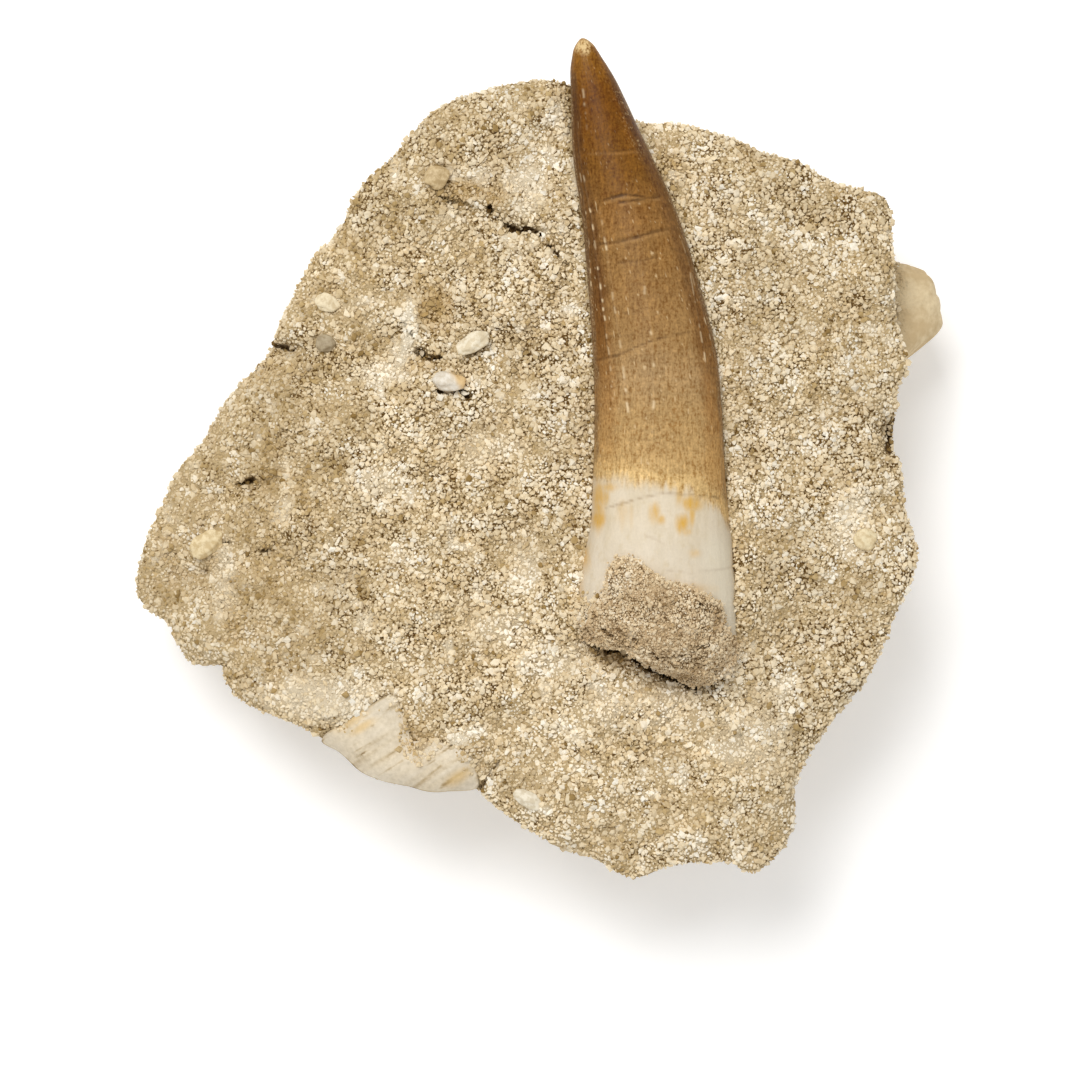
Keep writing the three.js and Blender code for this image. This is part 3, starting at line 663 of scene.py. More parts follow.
# A point of the underside: row is 0 at the foot, 1 where it gets flatter and 2 at the flat spot
def underPoint(angle, row, foot):
    footR = np.hypot(foot[..., 0] - slab["centre"][0], foot[..., 1] - slab["centre"][1])
    rimR = rimRadius(angle)
    wide, narrow = slab["underWide"] * rimR, slab["underNarrow"] * rimR
    if row <= 1:
        r = footR + (wide - footR) * row
        z = slab["footHeight"] + (slab["underHeight"] - slab["footHeight"]) * row
    else:
        r = wide + (narrow - wide) * (row - 1)
        z = slab["underHeight"] * (2 - row)
    x, y = placeAround(slab, angle, r)
    return np.stack([x, y, z + slab["sink"] + 0.06 * (1 + noise(x, y, 0, 2.0, 41))], -1)


# Reach and angle of a square grid's place when the square is bent to the outline
def gridToOutline(a, b):
    reach = np.maximum(np.abs(a), np.abs(b))
    across = np.abs(a) >= np.abs(b)
    bigger, other = np.where(across, a, b), np.where(across, b, a)
    eighth = math.pi / 4 * other / np.where(bigger == 0, 1e-9, bigger)
    turn = np.where(across, eighth, math.pi / 2 - eighth)
    return reach, turn + np.where(bigger < 0, math.pi, 0)


# The ground of the slab: a square grid bent to the rim, rows down the side, rows in under the foot, and a fan
def slabGround():
    n = 2 * slab["cells"]
    b, a = np.mgrid[0 : n + 1, 0 : n + 1] / slab["cells"] - 1
    reach, angle = gridToOutline(a, b)
    x, y = placeAround(slab, angle, reach * (rimRadius(angle) - slab["sink"]))
    top = np.stack([x, y, groundHeight(x, y)], -1)
    corners, places = gridTriangles(n + 1, n + 1, False)
    uvTop = mapMargin + slab["topMap"] * places[..., ::-1] / n
    k = np.arange(n)
    border = np.concatenate([k * (n + 1) + n, n * (n + 1) + n - k, (n - k) * (n + 1), k])
    angles = angle.reshape(-1)[border]
    rows = [sidePoint(angles, row / slab["sideRows"], slab["sink"]) for row in range(1, slab["sideRows"] + 1)]
    half = slab["underRows"] // 2
    under = [underPoint(angles, row / half, rows[-1]) for row in range(1, slab["underRows"] + 1)]
    flat = [under[-1] * (1 - t) + np.array([0, 0, slab["sink"]]) * t for t in (0.25, 0.5, 0.75)]
    rows = rows + under + flat
    points = np.concatenate([top.reshape(-1, 3)] + rows + [[(0, 0, slab["sink"])]])
    rowCount, columnCount = len(rows) + 1, len(border)
    below = (n + 1) ** 2 + np.arange(len(rows) * columnCount).reshape(len(rows), columnCount)
    index = np.concatenate([border[None], below])
    sideCorners, sidePlaces = gridTriangles(rowCount, columnCount, True)
    sideFaces = index.reshape(-1)[sideCorners][:, ::-1]
    uvAlong = mapMargin + (1 - 2 * mapMargin) * sidePlaces[..., 1] / columnCount
    uvDown = slab["sideMapFrom"] + slab["sideMap"] * sidePlaces[..., 0] / rowCount
    uvSide = np.stack([uvAlong, uvDown], -1)[:, ::-1]
    last = index[-1]
    fan = np.stack([last, np.full(columnCount, len(points) - 1), np.roll(last, -1)], -1)
    uvFan = 0.7 + 0.25 * np.random.default_rng(1).random((columnCount, 3, 2)) * [1, -1]
    faces = np.concatenate([corners, sideFaces, fan])
    return points, faces, np.concatenate([uvTop, uvSide, uvFan])


sand = {
    "spacing": 0.28, "sideSpacing": 0.43, "underSpacing": 0.62, "crustSpacing": 0.19,
    "radius": 0.6, "spread": 0.36,  # radius of a grain as a share of the spacing, and how much it varies
    "bigShare": 0.025, "big": (0.24, 0.42),  # share of bigger bits and their radius in mm
    "mostInPiece": 16000,
    "overFlake": 0.95, "fringe": 0.8, "inFringe": 0.22,  # sand over the flake's edge, and its thin fringe
    "crustEdge": 0.93, "chipEdge": 0.9,  # shares of the way out where it ends at the crust and at a chip
    "inCracks": 0.72,  # share of it that is kept in deep cracks
    "sideRadius": 28, "sideTall": 15.6,  # the box over which the side's grains are scattered, rolled out
}
sixths = np.arange(6) * fullTurn / 6
grainRing = np.stack([np.cos(sixths), np.sin(sixths), 0 * sixths], -1)
grainCorners = np.concatenate([grainRing, [[0, 0, 1.0], [0, 0, -1.0]]])
grainFaces = np.array([[k, (k + 1) % 6, 6] for k in range(6)] + [[(k + 1) % 6, k, 7] for k in range(6)])


# Turns spread evenly in space: matrices of random unit quaternions
def randomTurns(count, draw):
    drawn = draw.normal(size=(4, count))
    w, x, y, z = drawn / np.linalg.norm(drawn, axis=0)
    rows = [
        1 - 2 * (y * y + z * z), 2 * (x * y - w * z), 2 * (x * z + w * y),
        2 * (x * y + w * z), 1 - 2 * (x * x + z * z), 2 * (y * z - w * x),
        2 * (x * z - w * y), 2 * (y * z + w * x), 1 - 2 * (x * x + y * y),
    ]
    return np.stack(rows, -1).reshape(count, 3, 3)


# Places on a grid of triangles with this spacing over a box, each moved a little at random
def scatter(low, high, spacing, draw):
    rows = np.arange(low[1], high[1], spacing * 0.866)
    columns = np.arange(low[0], high[0], spacing)
    x = columns[None] + spacing / 2 * (np.arange(len(rows)) % 2)[:, None]
    y = np.broadcast_to(rows[:, None], x.shape)
    jitter = draw.uniform(-0.36, 0.36, (2,) + x.shape) * spacing
    return (x + jitter[0]).ravel(), (y + jitter[1]).ravel()


# Grains: six-sided double cones, stretched, turned and dented at random, each with its own cell of the map
def sandPieces(name, centres, radii, tones, shades, finish, seed, flat=1):
    draw = np.random.default_rng(seed)
    count = len(centres)
    stretch = draw.uniform(0.6, 1.3, (count, 1, 3))
    dents = draw.uniform(0.75, 1.2, (count, 8, 1))
    turns = randomTurns(count, draw)
    bodies = np.einsum("nij,nkj->nki", turns, grainCorners * stretch * dents) * [1, 1, flat]
    points = centres[:, None] + bodies * radii[:, None, None]
    parts = max(1, math.ceil(count / sand["mostInPiece"]))
    for part in range(parts):
        chosen = np.arange(part, count, parts)
        across = math.ceil(math.sqrt(len(chosen)))
        byTone = np.argsort(tones[chosen], kind="stable")
        column = np.empty(len(chosen), int)
        column[byTone] = np.arange(len(chosen)) // across
        byBoth = np.lexsort((shades[chosen], column))
        row = np.empty(len(chosen), int)
        row[byBoth] = np.arange(len(chosen)) % across
        cell = np.stack([column, row], -1)[:, None, None] + 0.06
        triangle = np.array([[0, 0], [0.88, 0], [0.44, 0.88]])
        uv = np.broadcast_to((cell + triangle) / across, (len(chosen), 12, 3, 2)).reshape(-1, 3, 2)
        faces = (np.arange(len(chosen))[:, None, None] * 8 + grainFaces).reshape(-1, 3)
        ochre = ochreShare(*centres[chosen].T)
        attributes = {"tone": tones[chosen], "shade": shades[chosen], "ochre": ochre}
        attributes = {key: np.repeat(value, 8) for key, value in attributes.items()}
        label = name if parts == 1 else f"{name}{part + 1}"
        makePiece(label, points[chosen].reshape(-1, 3), faces, uv, finish, None, attributes, False)


# Share of the knob: 1 on its surface and nothing elsewhere
def onKnob(x, z):
    return smooth((x - 28.5) / 1.5) * smooth((15 - z) / 2)


# Local brightness: a little less at the far left, the right and the top left
def localLight(x, y):
    less = 0.06 * smooth((-x - 12) / 8) + 0.05 * smooth((x - 13) / 5)
    return 0.96 - less - 0.05 * smooth((y - 16) / 4) * (x < 0)


# Tone from 0, dark, to 1, whitish: a random draw, paler or browner in the spots and dark in the cracks as
# painted shade.
# Then the shade that brightens or darkens it, and the shares of pale and of cement
def sandTones(x, y, z, draw, dark=0):
    pale, ochre, cement = paleShare(x, y, z), ochreShare(x, y, z), cementShare(x, y, z)
    tone = 0.6 + 0.1 * draw.standard_normal(len(x)) + 0.22 * cloud(x, y, z, 1.5, 51, 3) + 0.04 * cement
    tone = tone - 0.1 * smooth((-x - 8) / 8) - 0.05 * smooth((y - 14) / 5) * (x < 0)
    tone = tone - 0.04 * smooth((-y - 18) / 5)
    tone = tone + pale * (0.28 - 0.5 * (tone - 0.6)) - ochre * 0.16
    odd = draw.random(len(x)) < 0.02 * (1 - pale)
    tone = np.where(odd, draw.uniform(0.12, 0.26, len(x)), np.clip(tone, 0.2, 1))
    clouds = 0.06 * cloud(x, y, z, 1.6, 67, 2) + 0.05 * noise(x, y, z, 4.5, 69)
    shade = draw.uniform(0.95, 1.07, len(x)) * (1 + clouds) * localLight(x, y) * (1 + 0.06 * pale)
    # Grains in a crack take a dark tone: painted shade
    shadedInCrack = dark > 0.3 + 0.5 * draw.random(len(x))
    return np.where(shadedInCrack, draw.uniform(0.02, 0.26, len(x)), tone), shade, pale, cement


sandStops = [
    (0.0, tint(58, 40, 16)), (0.07, tint(94, 69, 32)), (0.16, tint(147, 119, 70)),
    (0.3, tint(191, 165, 117)), (0.45, tint(216, 195, 157)), (0.65, tint(231, 214, 181)),
    (0.82, tint(239, 227, 203)), (1.0, tint(245, 239, 224)),
]
crustStops = [
    (0.0, tint(46, 33, 20)), (0.07, tint(84, 62, 38)), (0.16, tint(136, 109, 74)),
    (0.3, tint(182, 155, 114)), (0.45, tint(205, 180, 142)), (0.65, tint(219, 198, 162)),
    (0.82, tint(228, 211, 180)), (1.0, tint(238, 226, 204)),
]


# Sand: the tone picks the colour along a ramp, and the shade and a fine speckle set how bright it is
def sandFinish(name, stops):
    finish = Finish(name, {"Roughness": 0.85, "Specular IOR Level": 0.12})
    speckle = finish.grain(finish.place(), (5200, 5200, 5200), 2.0, 0.6)
    bright = finish.kept("shade") * (0.86 + 0.3 * speckle)
    colour = finish.ramp(finish.kept("tone"), stops)
    colour = finish.mix(finish.kept("ochre") * 0.5, colour, tint(190, 158, 104))
    return finish.paint(finish.lit(colour, bright))


# Ground between grains: tan cement with brown pores, partly its colour and partly painted shade of the gaps,
# ochre and pale in their spots, dark brown painted shade in the cracks and a smooth blotched tan on the knob
def groundFinish(name, poreAndGapShade, cement, ochre, pale):
    finish = Finish(name, {"Roughness": 0.95, "Specular IOR Level": 0.1})
    fine = finish.grain(finish.place(), (3600, 3600, 3600), 3.0, 0.6)
    colour = finish.mix(finish.kept("ochre"), cement, ochre)
    colour = finish.mix(finish.kept("pale") * 0.9, colour, pale)
    filled = finish.mask(fine + 0.2 * finish.kept("cement") + 0.1 * finish.kept("pale"), 0.5, 0.62)
    # Brown pores where the cement is thin: partly the cement's brown and partly painted shade of the gaps
    colour = finish.mix(filled, poreAndGapShade, colour)
    # Dark brown in the cracks: painted shade
    shadedInCrack = finish.mask(finish.kept("dark") + (fine - 0.5) * 0.8, 0.3, 0.8)
    colour = finish.mix(shadedInCrack, colour, tint(78, 56, 30))
    blotches = finish.grain(finish.place(), (420, 420, 420), 3.0, 0.6)
    smoothTan = finish.mix(finish.mask(blotches, 0.4, 0.6), tint(204, 180, 140), tint(228, 208, 170))
    smoothTan = finish.mix(finish.mask(fine, 0.3, 0.8) * 0.4, smoothTan, tint(198, 173, 130))
    colour = finish.mix(finish.kept("knob"), colour, smoothTan)
    finish.bump(fine * (1 - 0.75 * finish.kept("knob")), 1.0, 0.0003)
    return finish.paint(colour)


# Values for the ground's material at each of its points
def groundValues(points, dark):
    x, y, z = points.T
    return {
        "cement": cementShare(x, y, z), "pale": paleShare(x, y, z), "ochre": ochreShare(x, y, z),
        "knob": onKnob(x, z), "dark": dark,
    }


groundPaint = groundFinish(
    "sandstoneGround", tint(100, 73, 34), tint(192, 169, 128), tint(184, 154, 104), tint(226, 214, 190)
)
sandPaint = sandFinish("sandGrains", sandStops)
points, faces, uv = slabGround()
# Painted shade in the cracks of the top, kept as the dark value of the ground's points
dark = crackShadeShare(slab, points[:, 0], points[:, 1]) * (points[:, 2] > 12)
makePiece("rockGround", points, faces, uv, groundPaint, "matrix", groundValues(points, dark))


# Radii of grains round a mean, with a spread like that of sieved sand
def grainRadii(spacing, count, draw):
    varied = np.exp(sand["spread"] * draw.standard_normal(count))
    return sand["radius"] * spacing * np.clip(varied, 0.5, 1.9)


# Sand on the top face, kept off the tooth, the chips and the crust, in tongues over the flake's edge
slabLow, slabHigh = (-34, -35), (32, 32)
draw = np.random.default_rng(11)
x, y = scatter(slabLow, slabHigh, sand["spacing"], draw)
keep = rimShare(x, y) < 0.997
x, y = x[keep], y[keep]
keep = (toothCover(x, y) < 0.12) | (y < rootY + 0.3)
tongueX = 0.55 * noise(x, y, 0, 1.3, 141) + 0.3 * noise(x, y, 0, 0.5, 142)
tongueY = 0.45 * noise(x, y, 0, 1.3, 147) + 0.25 * noise(x, y, 0, 0.5, 148)
fromBay = np.hypot((x - flake["bay"][0]) / flake["bayWide"], (y - flake["bay"][1]) / flake["bayLong"])
onFlake = flakeShare(x + tongueX, y + tongueY) + flake["bayDepth"] * bell(fromBay)
fringe = (onFlake > sand["fringe"]) & (draw.random(len(x)) < sand["inFringe"])
keep &= (onFlake > sand["overFlake"]) | fringe
keep &= crustShare(x, y) > sand["crustEdge"]
for chip in chips.values():
    keep &= chipShare(chip, x, y) > sand["chipEdge"]
# Painted shade of the cracks at each grain: it thins the grains there and darkens those that are kept
dark = crackShadeShare(slab, x, y)
keep &= (dark < 0.5) | (draw.random(len(x)) < sand["inCracks"])
keep &= (rimShare(x, y) < 0.95) | (flakeShare(x, y) > 1.06)
x, y, dark = x[keep], y[keep], dark[keep]
tones, shades, pale, cement = sandTones(x, y, np.full(len(x), slab["toneAt"]), draw, dark)
radii = grainRadii(sand["spacing"], len(x), draw)
big = (draw.random(len(x)) < sand["bigShare"]) & (dark < 0.1)
radii = np.where(big, draw.uniform(*sand["big"], len(x)), radii)
tones = np.where(big, np.clip(tones + 0.1, 0, 1), tones)
lift = radii * (draw.uniform(-0.3, 0.75, len(x)) - 0.3 * cement - 0.1 * pale)
lift = np.where(big, -0.25 * radii, lift)
onFlake = flakeShare(x, y)
z = np.where(onFlake < 1, flakeTop(x, y, onFlake), openGround(x, y)) + lift
sandPieces("sandTop", np.stack([x, y, z], -1), radii, tones, shades, sandPaint, 12, 0.75)

# Sand drifted onto the lower left and the lower right of the root
x, y = scatter((1.5, -17.6), (17.0, -9.5), 0.2, draw)
along, _, radius, off = toothAcross(x, np.maximum(y, rootY))
ragged = 0.5 * noise(x, y, 0, 0.7, 143)
leftDrift = smooth((-10.3 - y) / 1.6 + ragged) * smooth((5.4 - x + 0.4 * noise(x, y, 0, 0.6, 145)) / 0.9)
rightDrift = smooth((-14.3 - y) / 1.2 + ragged) * smooth((x - 12.5) / 0.8)
keep = (off < radius + 0.3) & (draw.random(len(x)) < leftDrift + rightDrift) & (crustShare(x, y) > 0.9)
x, y = x[keep], y[keep]
tones, shades = sandTones(x, y, np.full(len(x), slab["toneAt"]), draw)[:2]
radii = grainRadii(sand["spacing"], len(x), draw)
onRoot = np.where(along[keep] > rootY - 0.5, toothTop(x, y), 0)
z = np.maximum(onRoot, groundHeight(x, y)) + radii * draw.uniform(0, 0.9, len(x))
sandPieces("sandOnRoot", np.stack([x, y, z], -1), radii, tones, shades, sandPaint, 14, 0.75)

# Sand on the broken sides, but none on the smooth knob or over the flake's edge
draw = np.random.default_rng(21)
rolledOut = (fullTurn * sand["sideRadius"], sand["sideTall"])
u, v = scatter((0, 0), rolledOut, sand["sideSpacing"], draw)
angle, down = u / sand["sideRadius"], np.clip(v / sand["sideTall"], 0.0, 1.0)
spots = sidePoint(angle, down, slab["sink"])
keep = (flakeShare(*placeAround(slab, angle, rimRadius(angle))) > 1.04) | (down > 0.1)
keep &= onKnob(spots[:, 0], spots[:, 2]) < 0.25 + 0.4 * draw.random(len(angle))
angle, down, spots = angle[keep], down[keep], spots[keep]
tones, shades, _, cement = sandTones(*spots.T, draw)
radii = grainRadii(sand["sideSpacing"], len(angle), draw) * (0.62 + 0.38 * smooth(down / 0.12))
outward = np.stack([np.cos(angle), np.sin(angle), np.zeros(len(angle))], -1)
spots = spots + outward * (radii * (draw.uniform(-0.2, 0.3, len(angle)) - 0.5 * cement))[:, None]
sandPieces("sandSide", spots, radii, tones, shades, sandPaint, 22)

# Sand on the underside
draw = np.random.default_rng(31)
x, y = scatter(slabLow, slabHigh, sand["underSpacing"], draw)
angle = np.arctan2(y - slab["centre"][1], x - slab["centre"][0])
r = np.hypot(x - slab["centre"][0], y - slab["centre"][1])
footR = np.hypot(*(sidePoint(angle, np.ones(len(x)), slab["sink"])[:, :2] - slab["centre"]).T)
keep = r < footR
x, y, r, angle, footR = x[keep], y[keep], r[keep], angle[keep], footR[keep]
rimR = rimRadius(angle)
wide, narrow, rise = slab["underWide"], slab["underNarrow"], slab["footHeight"] - slab["underHeight"]
slope = slab["underHeight"] + rise * (r - wide * rimR) / (footR - wide * rimR)
z = np.where(r > wide * rimR, slope, slab["underHeight"] * np.clip(r / rimR - narrow, 0, 1) / (wide - narrow))
radii = sand["underSpacing"] * draw.uniform(0.42, 0.6, len(x))
z = np.maximum(z + slab["sink"] + draw.uniform(0, 0.1, len(x)), radii * 1.35)
tones, shades = sandTones(x, y, z, draw)[:2]
sandPieces("sandUnder", np.stack([x, y, z], -1), radii, tones, shades * 0.95, sandPaint, 32, 0.8)


tooth = {
    "rows": 390, "columnsOver": 190, "columnsUnder": 50, "crowd": 1.3,
    # low ridges: y and angle at three places; the angle is 0 on the left and 90 on top; pale sets the painted
    # highlight along them
    "ridges": [
        {"from": (27.5, 36), "middle": (16, 38), "to": (3.5, 45), "high": 0.07, "pale": 1.0},
        {"from": (20.5, 53), "middle": (12, 55), "to": (2.0, 61), "high": 0.06, "pale": 0.9},
        {"from": (15.0, 90), "middle": (8, 87), "to": (0.5, 83), "high": 0.05, "pale": 0.8},
        {"from": (15.5, 155), "middle": (11, 143), "to": (5.5, 141), "high": 0.06, "pale": 0.9},
        {"from": (25.1, 30), "middle": (18, 24), "to": (9.5, 13), "high": 0.06, "pale": 0.9},
        {"from": (17.2, 153), "middle": (12, 153), "to": (6.9, 162), "high": 0.06, "pale": 0.8},
        {"from": (31.5, 62), "middle": (29, 60), "to": (25.5, 58), "high": 0.03, "pale": 0.4},
    ],
    # cracks across it: line, half width, strength
    "cracks": [
        ([(3.79, 24.21), (5.68, 24.13), (7.89, 24.36)], 0.1, 0.5),
        ([(5.12, 20.3), (6.7, 20.69), (8.27, 20.54)], 0.12, 0.95),
        ([(6.3, 20.06), (7.88, 20.3), (9.45, 20.61)], 0.11, 0.85),
        ([(4.73, 16.83), (6.3, 16.99), (7.88, 17.38), (9.06, 17.78), (10.08, 18.01)], 0.12, 0.9),
        ([(6.2, 15.3), (8.0, 15.5), (9.4, 15.8)], 0.1, 0.5),
        ([(4.56, 7.75), (6.06, 7.99), (7.86, 8.78), (9.44, 9.33), (11.95, 9.88)], 0.1, 0.65),
        ([(7.0, 12.4), (9.0, 12.7), (11.0, 12.9)], 0.1, 0.25),
        ([(5.11, -4.05), (6.68, -3.65), (7.86, -3.26), (9.43, -2.95), (11.79, -2.95), (14.14, -3.18)],
         0.09, 0.75),
        ([(9.82, -8.92), (11.79, -9.15), (13.75, -9.0), (15.32, -8.68)], 0.09, 0.45),
        ([(8.2, -6.2), (9.0, -6.5), (9.8, -6.9)], 0.1, 0.3),
    ],
    # where the crown's brown ends
    "border": [
        (2.0, -1.6), (3.93, -1.69), (6.29, -2.08), (9.04, -2.39),
        (11.79, -2.94), (13.52, -3.81), (14.93, -4.99), (17.0, -6.0),
    ],
    # orange stains: x, y, half width, half length, strength
    "stains": [
        (4.7, -3.2, 0.55, 0.9, 1.0), (4.65, -4.0, 0.4, 0.9, 0.9), (4.6, -4.8, 0.4, 0.9, 0.95),
        (5.3, -2.4, 0.7, 0.3, 0.7), (6.5, -4.4, 0.4, 0.9, 0.3), (7.2, -4.6, 0.16, 0.8, 0.25),
        (9.05, -4.3, 0.38, 0.75, 0.75), (9.5, -4.95, 0.3, 0.35, 0.75), (11.2, -5.2, 0.42, 0.62, 1.0),
        (11.9, -3.6, 0.8, 0.55, 0.9), (12.0, -4.6, 0.2, 1.1, 0.7), (11.0, -3.1, 0.3, 0.8, 0.6),
        (11.6, -5.9, 0.5, 0.25, 0.5), (3.4, -7.9, 0.45, 0.9, 0.8), (3.1, -10.5, 0.35, 1.3, 0.35),
        (12.3, -7.6, 0.5, 0.3, 0.4), (12.6, -10.4, 1.2, 0.35, 0.35), (15.6, -8.3, 0.3, 1.0, 0.4),
    ],
}

# The grid of the tooth's skin: rows closer together at the tip, and more columns on the side that shows
rows = np.arange(1, tooth["rows"] + 1) / tooth["rows"]
ys = tipY - (tipY - rootY) * rows ** tooth["crowd"]
degrees = np.concatenate([
    np.linspace(0, 180, tooth["columnsOver"], endpoint=False),
    np.linspace(180, 360, tooth["columnsUnder"], endpoint=False),
])
gridY, gridDegrees = ys[:, None], degrees[None, :]

# Ridges: bells across their own line of angles, which fade in and out along the tooth
crest = np.zeros((len(ys), len(degrees)))
dashes = np.zeros(crest.shape)
for k, ridge in enumerate(tooth["ridges"]):
    knots = np.array([ridge["to"], ridge["middle"], ridge["from"]])
    line = (curveAt(knots[:, 0], knots[:, 1], ys) + 1.3 * noise(ys, 3.0 * k, 0, 0.7, 73))[:, None]
    wide = np.degrees(0.1 / np.maximum(toothAt(ys)[2], 0.5))[:, None]
    across = np.abs((gridDegrees - line + 180) % 360 - 180) / wide
    run = smooth((knots[2, 0] - gridY) / 2) * smooth((gridY - knots[0, 0]) / 2)
    crest += ridge["high"] * run * bell(across / 1.6)
    # Broken pale marks along each ridge's crest: painted highlights
    broken = 0.06 + 0.94 * smooth(6 * noise(gridY, 7.0 * k, 0, 0.36, 71 + k) - 0.8)
    broken = broken * (0.45 + 0.55 * smooth(1.8 * noise(gridY, 7.0 * k, 3, 2.0, 61 + k) + 0.6))
    dashes = np.maximum(dashes, ridge["pale"] * run * bell(across) * broken)

arc = np.radians(gridDegrees) * 5  # place across the skin, in mm
striae = noise(arc, gridY / 9, 0, 0.32, 81) + 0.6 * noise(arc, gridY / 5, 3, 0.18, 83)
lines = noise(arc / 7, gridY, 0, 0.3, 85) + 0.6 * noise(arc / 5, gridY, 3, 0.19, 87)


# Skin of the tooth at rows of y and columns of angle: the flattened circle round the axis, swollen by extra
def toothSkin(extra):
    axisX, axisZ, radius = (v[:, None] for v in toothAt(ys))
    ahead, behind = toothAt(ys - 0.2), toothAt(ys + 0.2)
    along = np.stack([ahead[0] - behind[0], np.full(len(ys), -0.4), ahead[1] - behind[1]], -1)
    along /= np.linalg.norm(along, axis=1, keepdims=True)
    side = np.cross(along, [0, 0, 1])
    side /= np.linalg.norm(side, axis=1, keepdims=True)
    up = np.cross(side, along)
    angle = np.radians(gridDegrees)
    r = radius + extra
    points = np.stack(np.broadcast_arrays(axisX + 0 * r, gridY, axisZ), -1)
    points = points + side[:, None] * (r * np.cos(angle))[..., None]
    points = points + up[:, None] * (r * np.sin(angle) * toothShape["depth"])[..., None]
    points[..., 1] -= rootSlope(gridY) * (points[..., 0] - axisX)
    return points


plain = toothSkin(np.zeros(crest.shape))
px, py = plain[..., 0], plain[..., 1]
upper = smooth((plain[..., 2] - toothAt(ys)[1][:, None]) / 0.6)
crack, crackLip = np.zeros(px.shape), np.zeros(px.shape)
wander = 0.09 * noise(px, py, 0, 0.6, 91) + 0.04 * noise(px, py, 0, 0.25, 100)
opened = upper * (0.75 + 0.5 * noise(px, py, 0, 0.8, 92))
for line, wide, strength in tooth["cracks"]:
    fromCrack = lineDistance(px, py, line) + wander
    # A pale line just below each crack: a painted highlight on its lower lip
    fromLip = lineDistance(px, py + 0.24, line) + wander
    crack = np.maximum(crack, strength * opened * bell(fromCrack / (0.85 * wide)))
    crackLip = np.maximum(crackLip, strength * opened * bell(fromLip / wide))
borderX, borderY = np.array(tooth["border"]).T
border = curveAt(borderX, borderY, np.clip(px, borderX[0], borderX[-1]))
fuzz = 0.5 * noise(px, py / 8, 0, 0.2, 93) + 0.35 * noise(px, py / 4, 0, 0.6, 90)
fuzz = fuzz + 0.3 * noise(px, py / 2, 0, 1.8, 89)
root = smooth((border - py + fuzz) / 2.1 + 0.5)
wrinkles = smooth(5 * noise(arc / 9, py + 0.12 * arc, 0, 0.42, 88) - 2.6)
wrinkles = wrinkles * smooth(2 * noise(arc, py, 4, 3.0, 86) + 0.6)
wrinkles = wrinkles * upper * (1 - root) * smooth((30 - py) / 3)
stain = np.zeros(px.shape)
ragged = 0.4 * noise(px, py / 3, 0, 0.3, 95) + 0.4 * noise(px, py, 0, 0.9, 84)
for sx, sy, wide, long, strength in tooth["stains"]:
    edge = np.hypot((px - sx) / wide, (py - sy) / long) + ragged
    stain = np.maximum(stain, strength * upper * smooth((1.8 - edge) / 1.7))
beside = np.degrees(np.arccos(np.abs(np.cos(np.radians(gridDegrees)))))  # 0 at the sides, 90 on top
ragged = 5 * noise(arc / 3, py, 0, 0.8, 94)
# Sides of the crown darker: partly the enamel's colour and partly painted shade where the sides turn from the
# light
flank = smooth((54 - beside + ragged) / 16) * smooth((32.2 - py) / 2.5)
right = 0.5 + 0.5 * bell((py - 9) / 5) + 0.15 * smooth((py - 20) / 5)
left = 0.4 + 0.7 * smooth((py - 1) / 9) - 0.3 * smooth((py - 15) / 6)
flank = flank * np.where(px > toothAt(ys)[0][:, None], right, left)
# A dark band along the outermost edge, up to the tip: partly its grey-brown colour and partly painted shade
# at the edge
outer = smooth((24 - beside + ragged) / 8) * smooth((33 - py) / 1.5)
outer = outer * smooth(1.2 * noise(arc, py / 3, 0, 0.5, 96) + 0.7)
band = bell((py - border - 0.4) / 1.2) * upper
greyRoot = root * smooth((px - 12.2 + 0.6 * noise(px, py, 0, 1.5, 97)) / 2.2) * smooth((-5.0 - py) / 2.5)
greyFlank = bell((gridDegrees - 150) / 20) * bell((py - 26.6) / 2.4)
greyFlank = greyFlank * smooth(2.2 * noise(px, py, 0, 0.35, 99) + 0.4)
fromTip = np.hypot((px - 3.4) / 0.75, (py - 32.65) / 0.6) + 0.4 * noise(px, py, 0, 0.5, 98)
tipPale = smooth(1.5 - fromTip) * upper
glints = smooth(5 * noise(arc, py / 2, 0, 0.18, 101) - 3.1) * (1 - root) * (0.4 + 0.6 * smooth((24 - py) / 6))
extra = crest * 0.9 + (0.010 * striae + 0.006 * lines) * smooth((tipY - gridY) / 1.5) - 0.05 * crack
extra = extra * np.where(toothAt(ys)[2] > 0.3, 1, 0)[:, None]
loops = toothSkin(extra - 0.02)
tipX, tipZ, _ = toothAt(np.array([tipY]))
endX, endZ, _ = toothAt(np.array([rootY]))
points, faces, uv = closedSkin(loops, (tipX[0], tipY - 0.01, tipZ[0]), (endX[0], rootY, endZ[0]))


# One value for each point of the tooth's mesh, with nothing at its two end points
def toothValues(grid):
    return np.concatenate([np.broadcast_to(grid, crest.shape).ravel(), [0, 0]])


marks = {
    "dashes": dashes, "crack": crack, "root": root, "stain": stain, "flank": flank, "outer": outer,
    "band": band, "greyRoot": greyRoot, "greyFlank": greyFlank, "tipPale": tipPale, "glints": glints,
    "weave": 0.5 + 0.2 * striae + 0.2 * lines, "crackLip": crackLip, "wrinkles": wrinkles,
}
marks = {key: toothValues(value) for key, value in marks.items()}
marks["tipPale"][-2] = 0.8  # the point at the tip

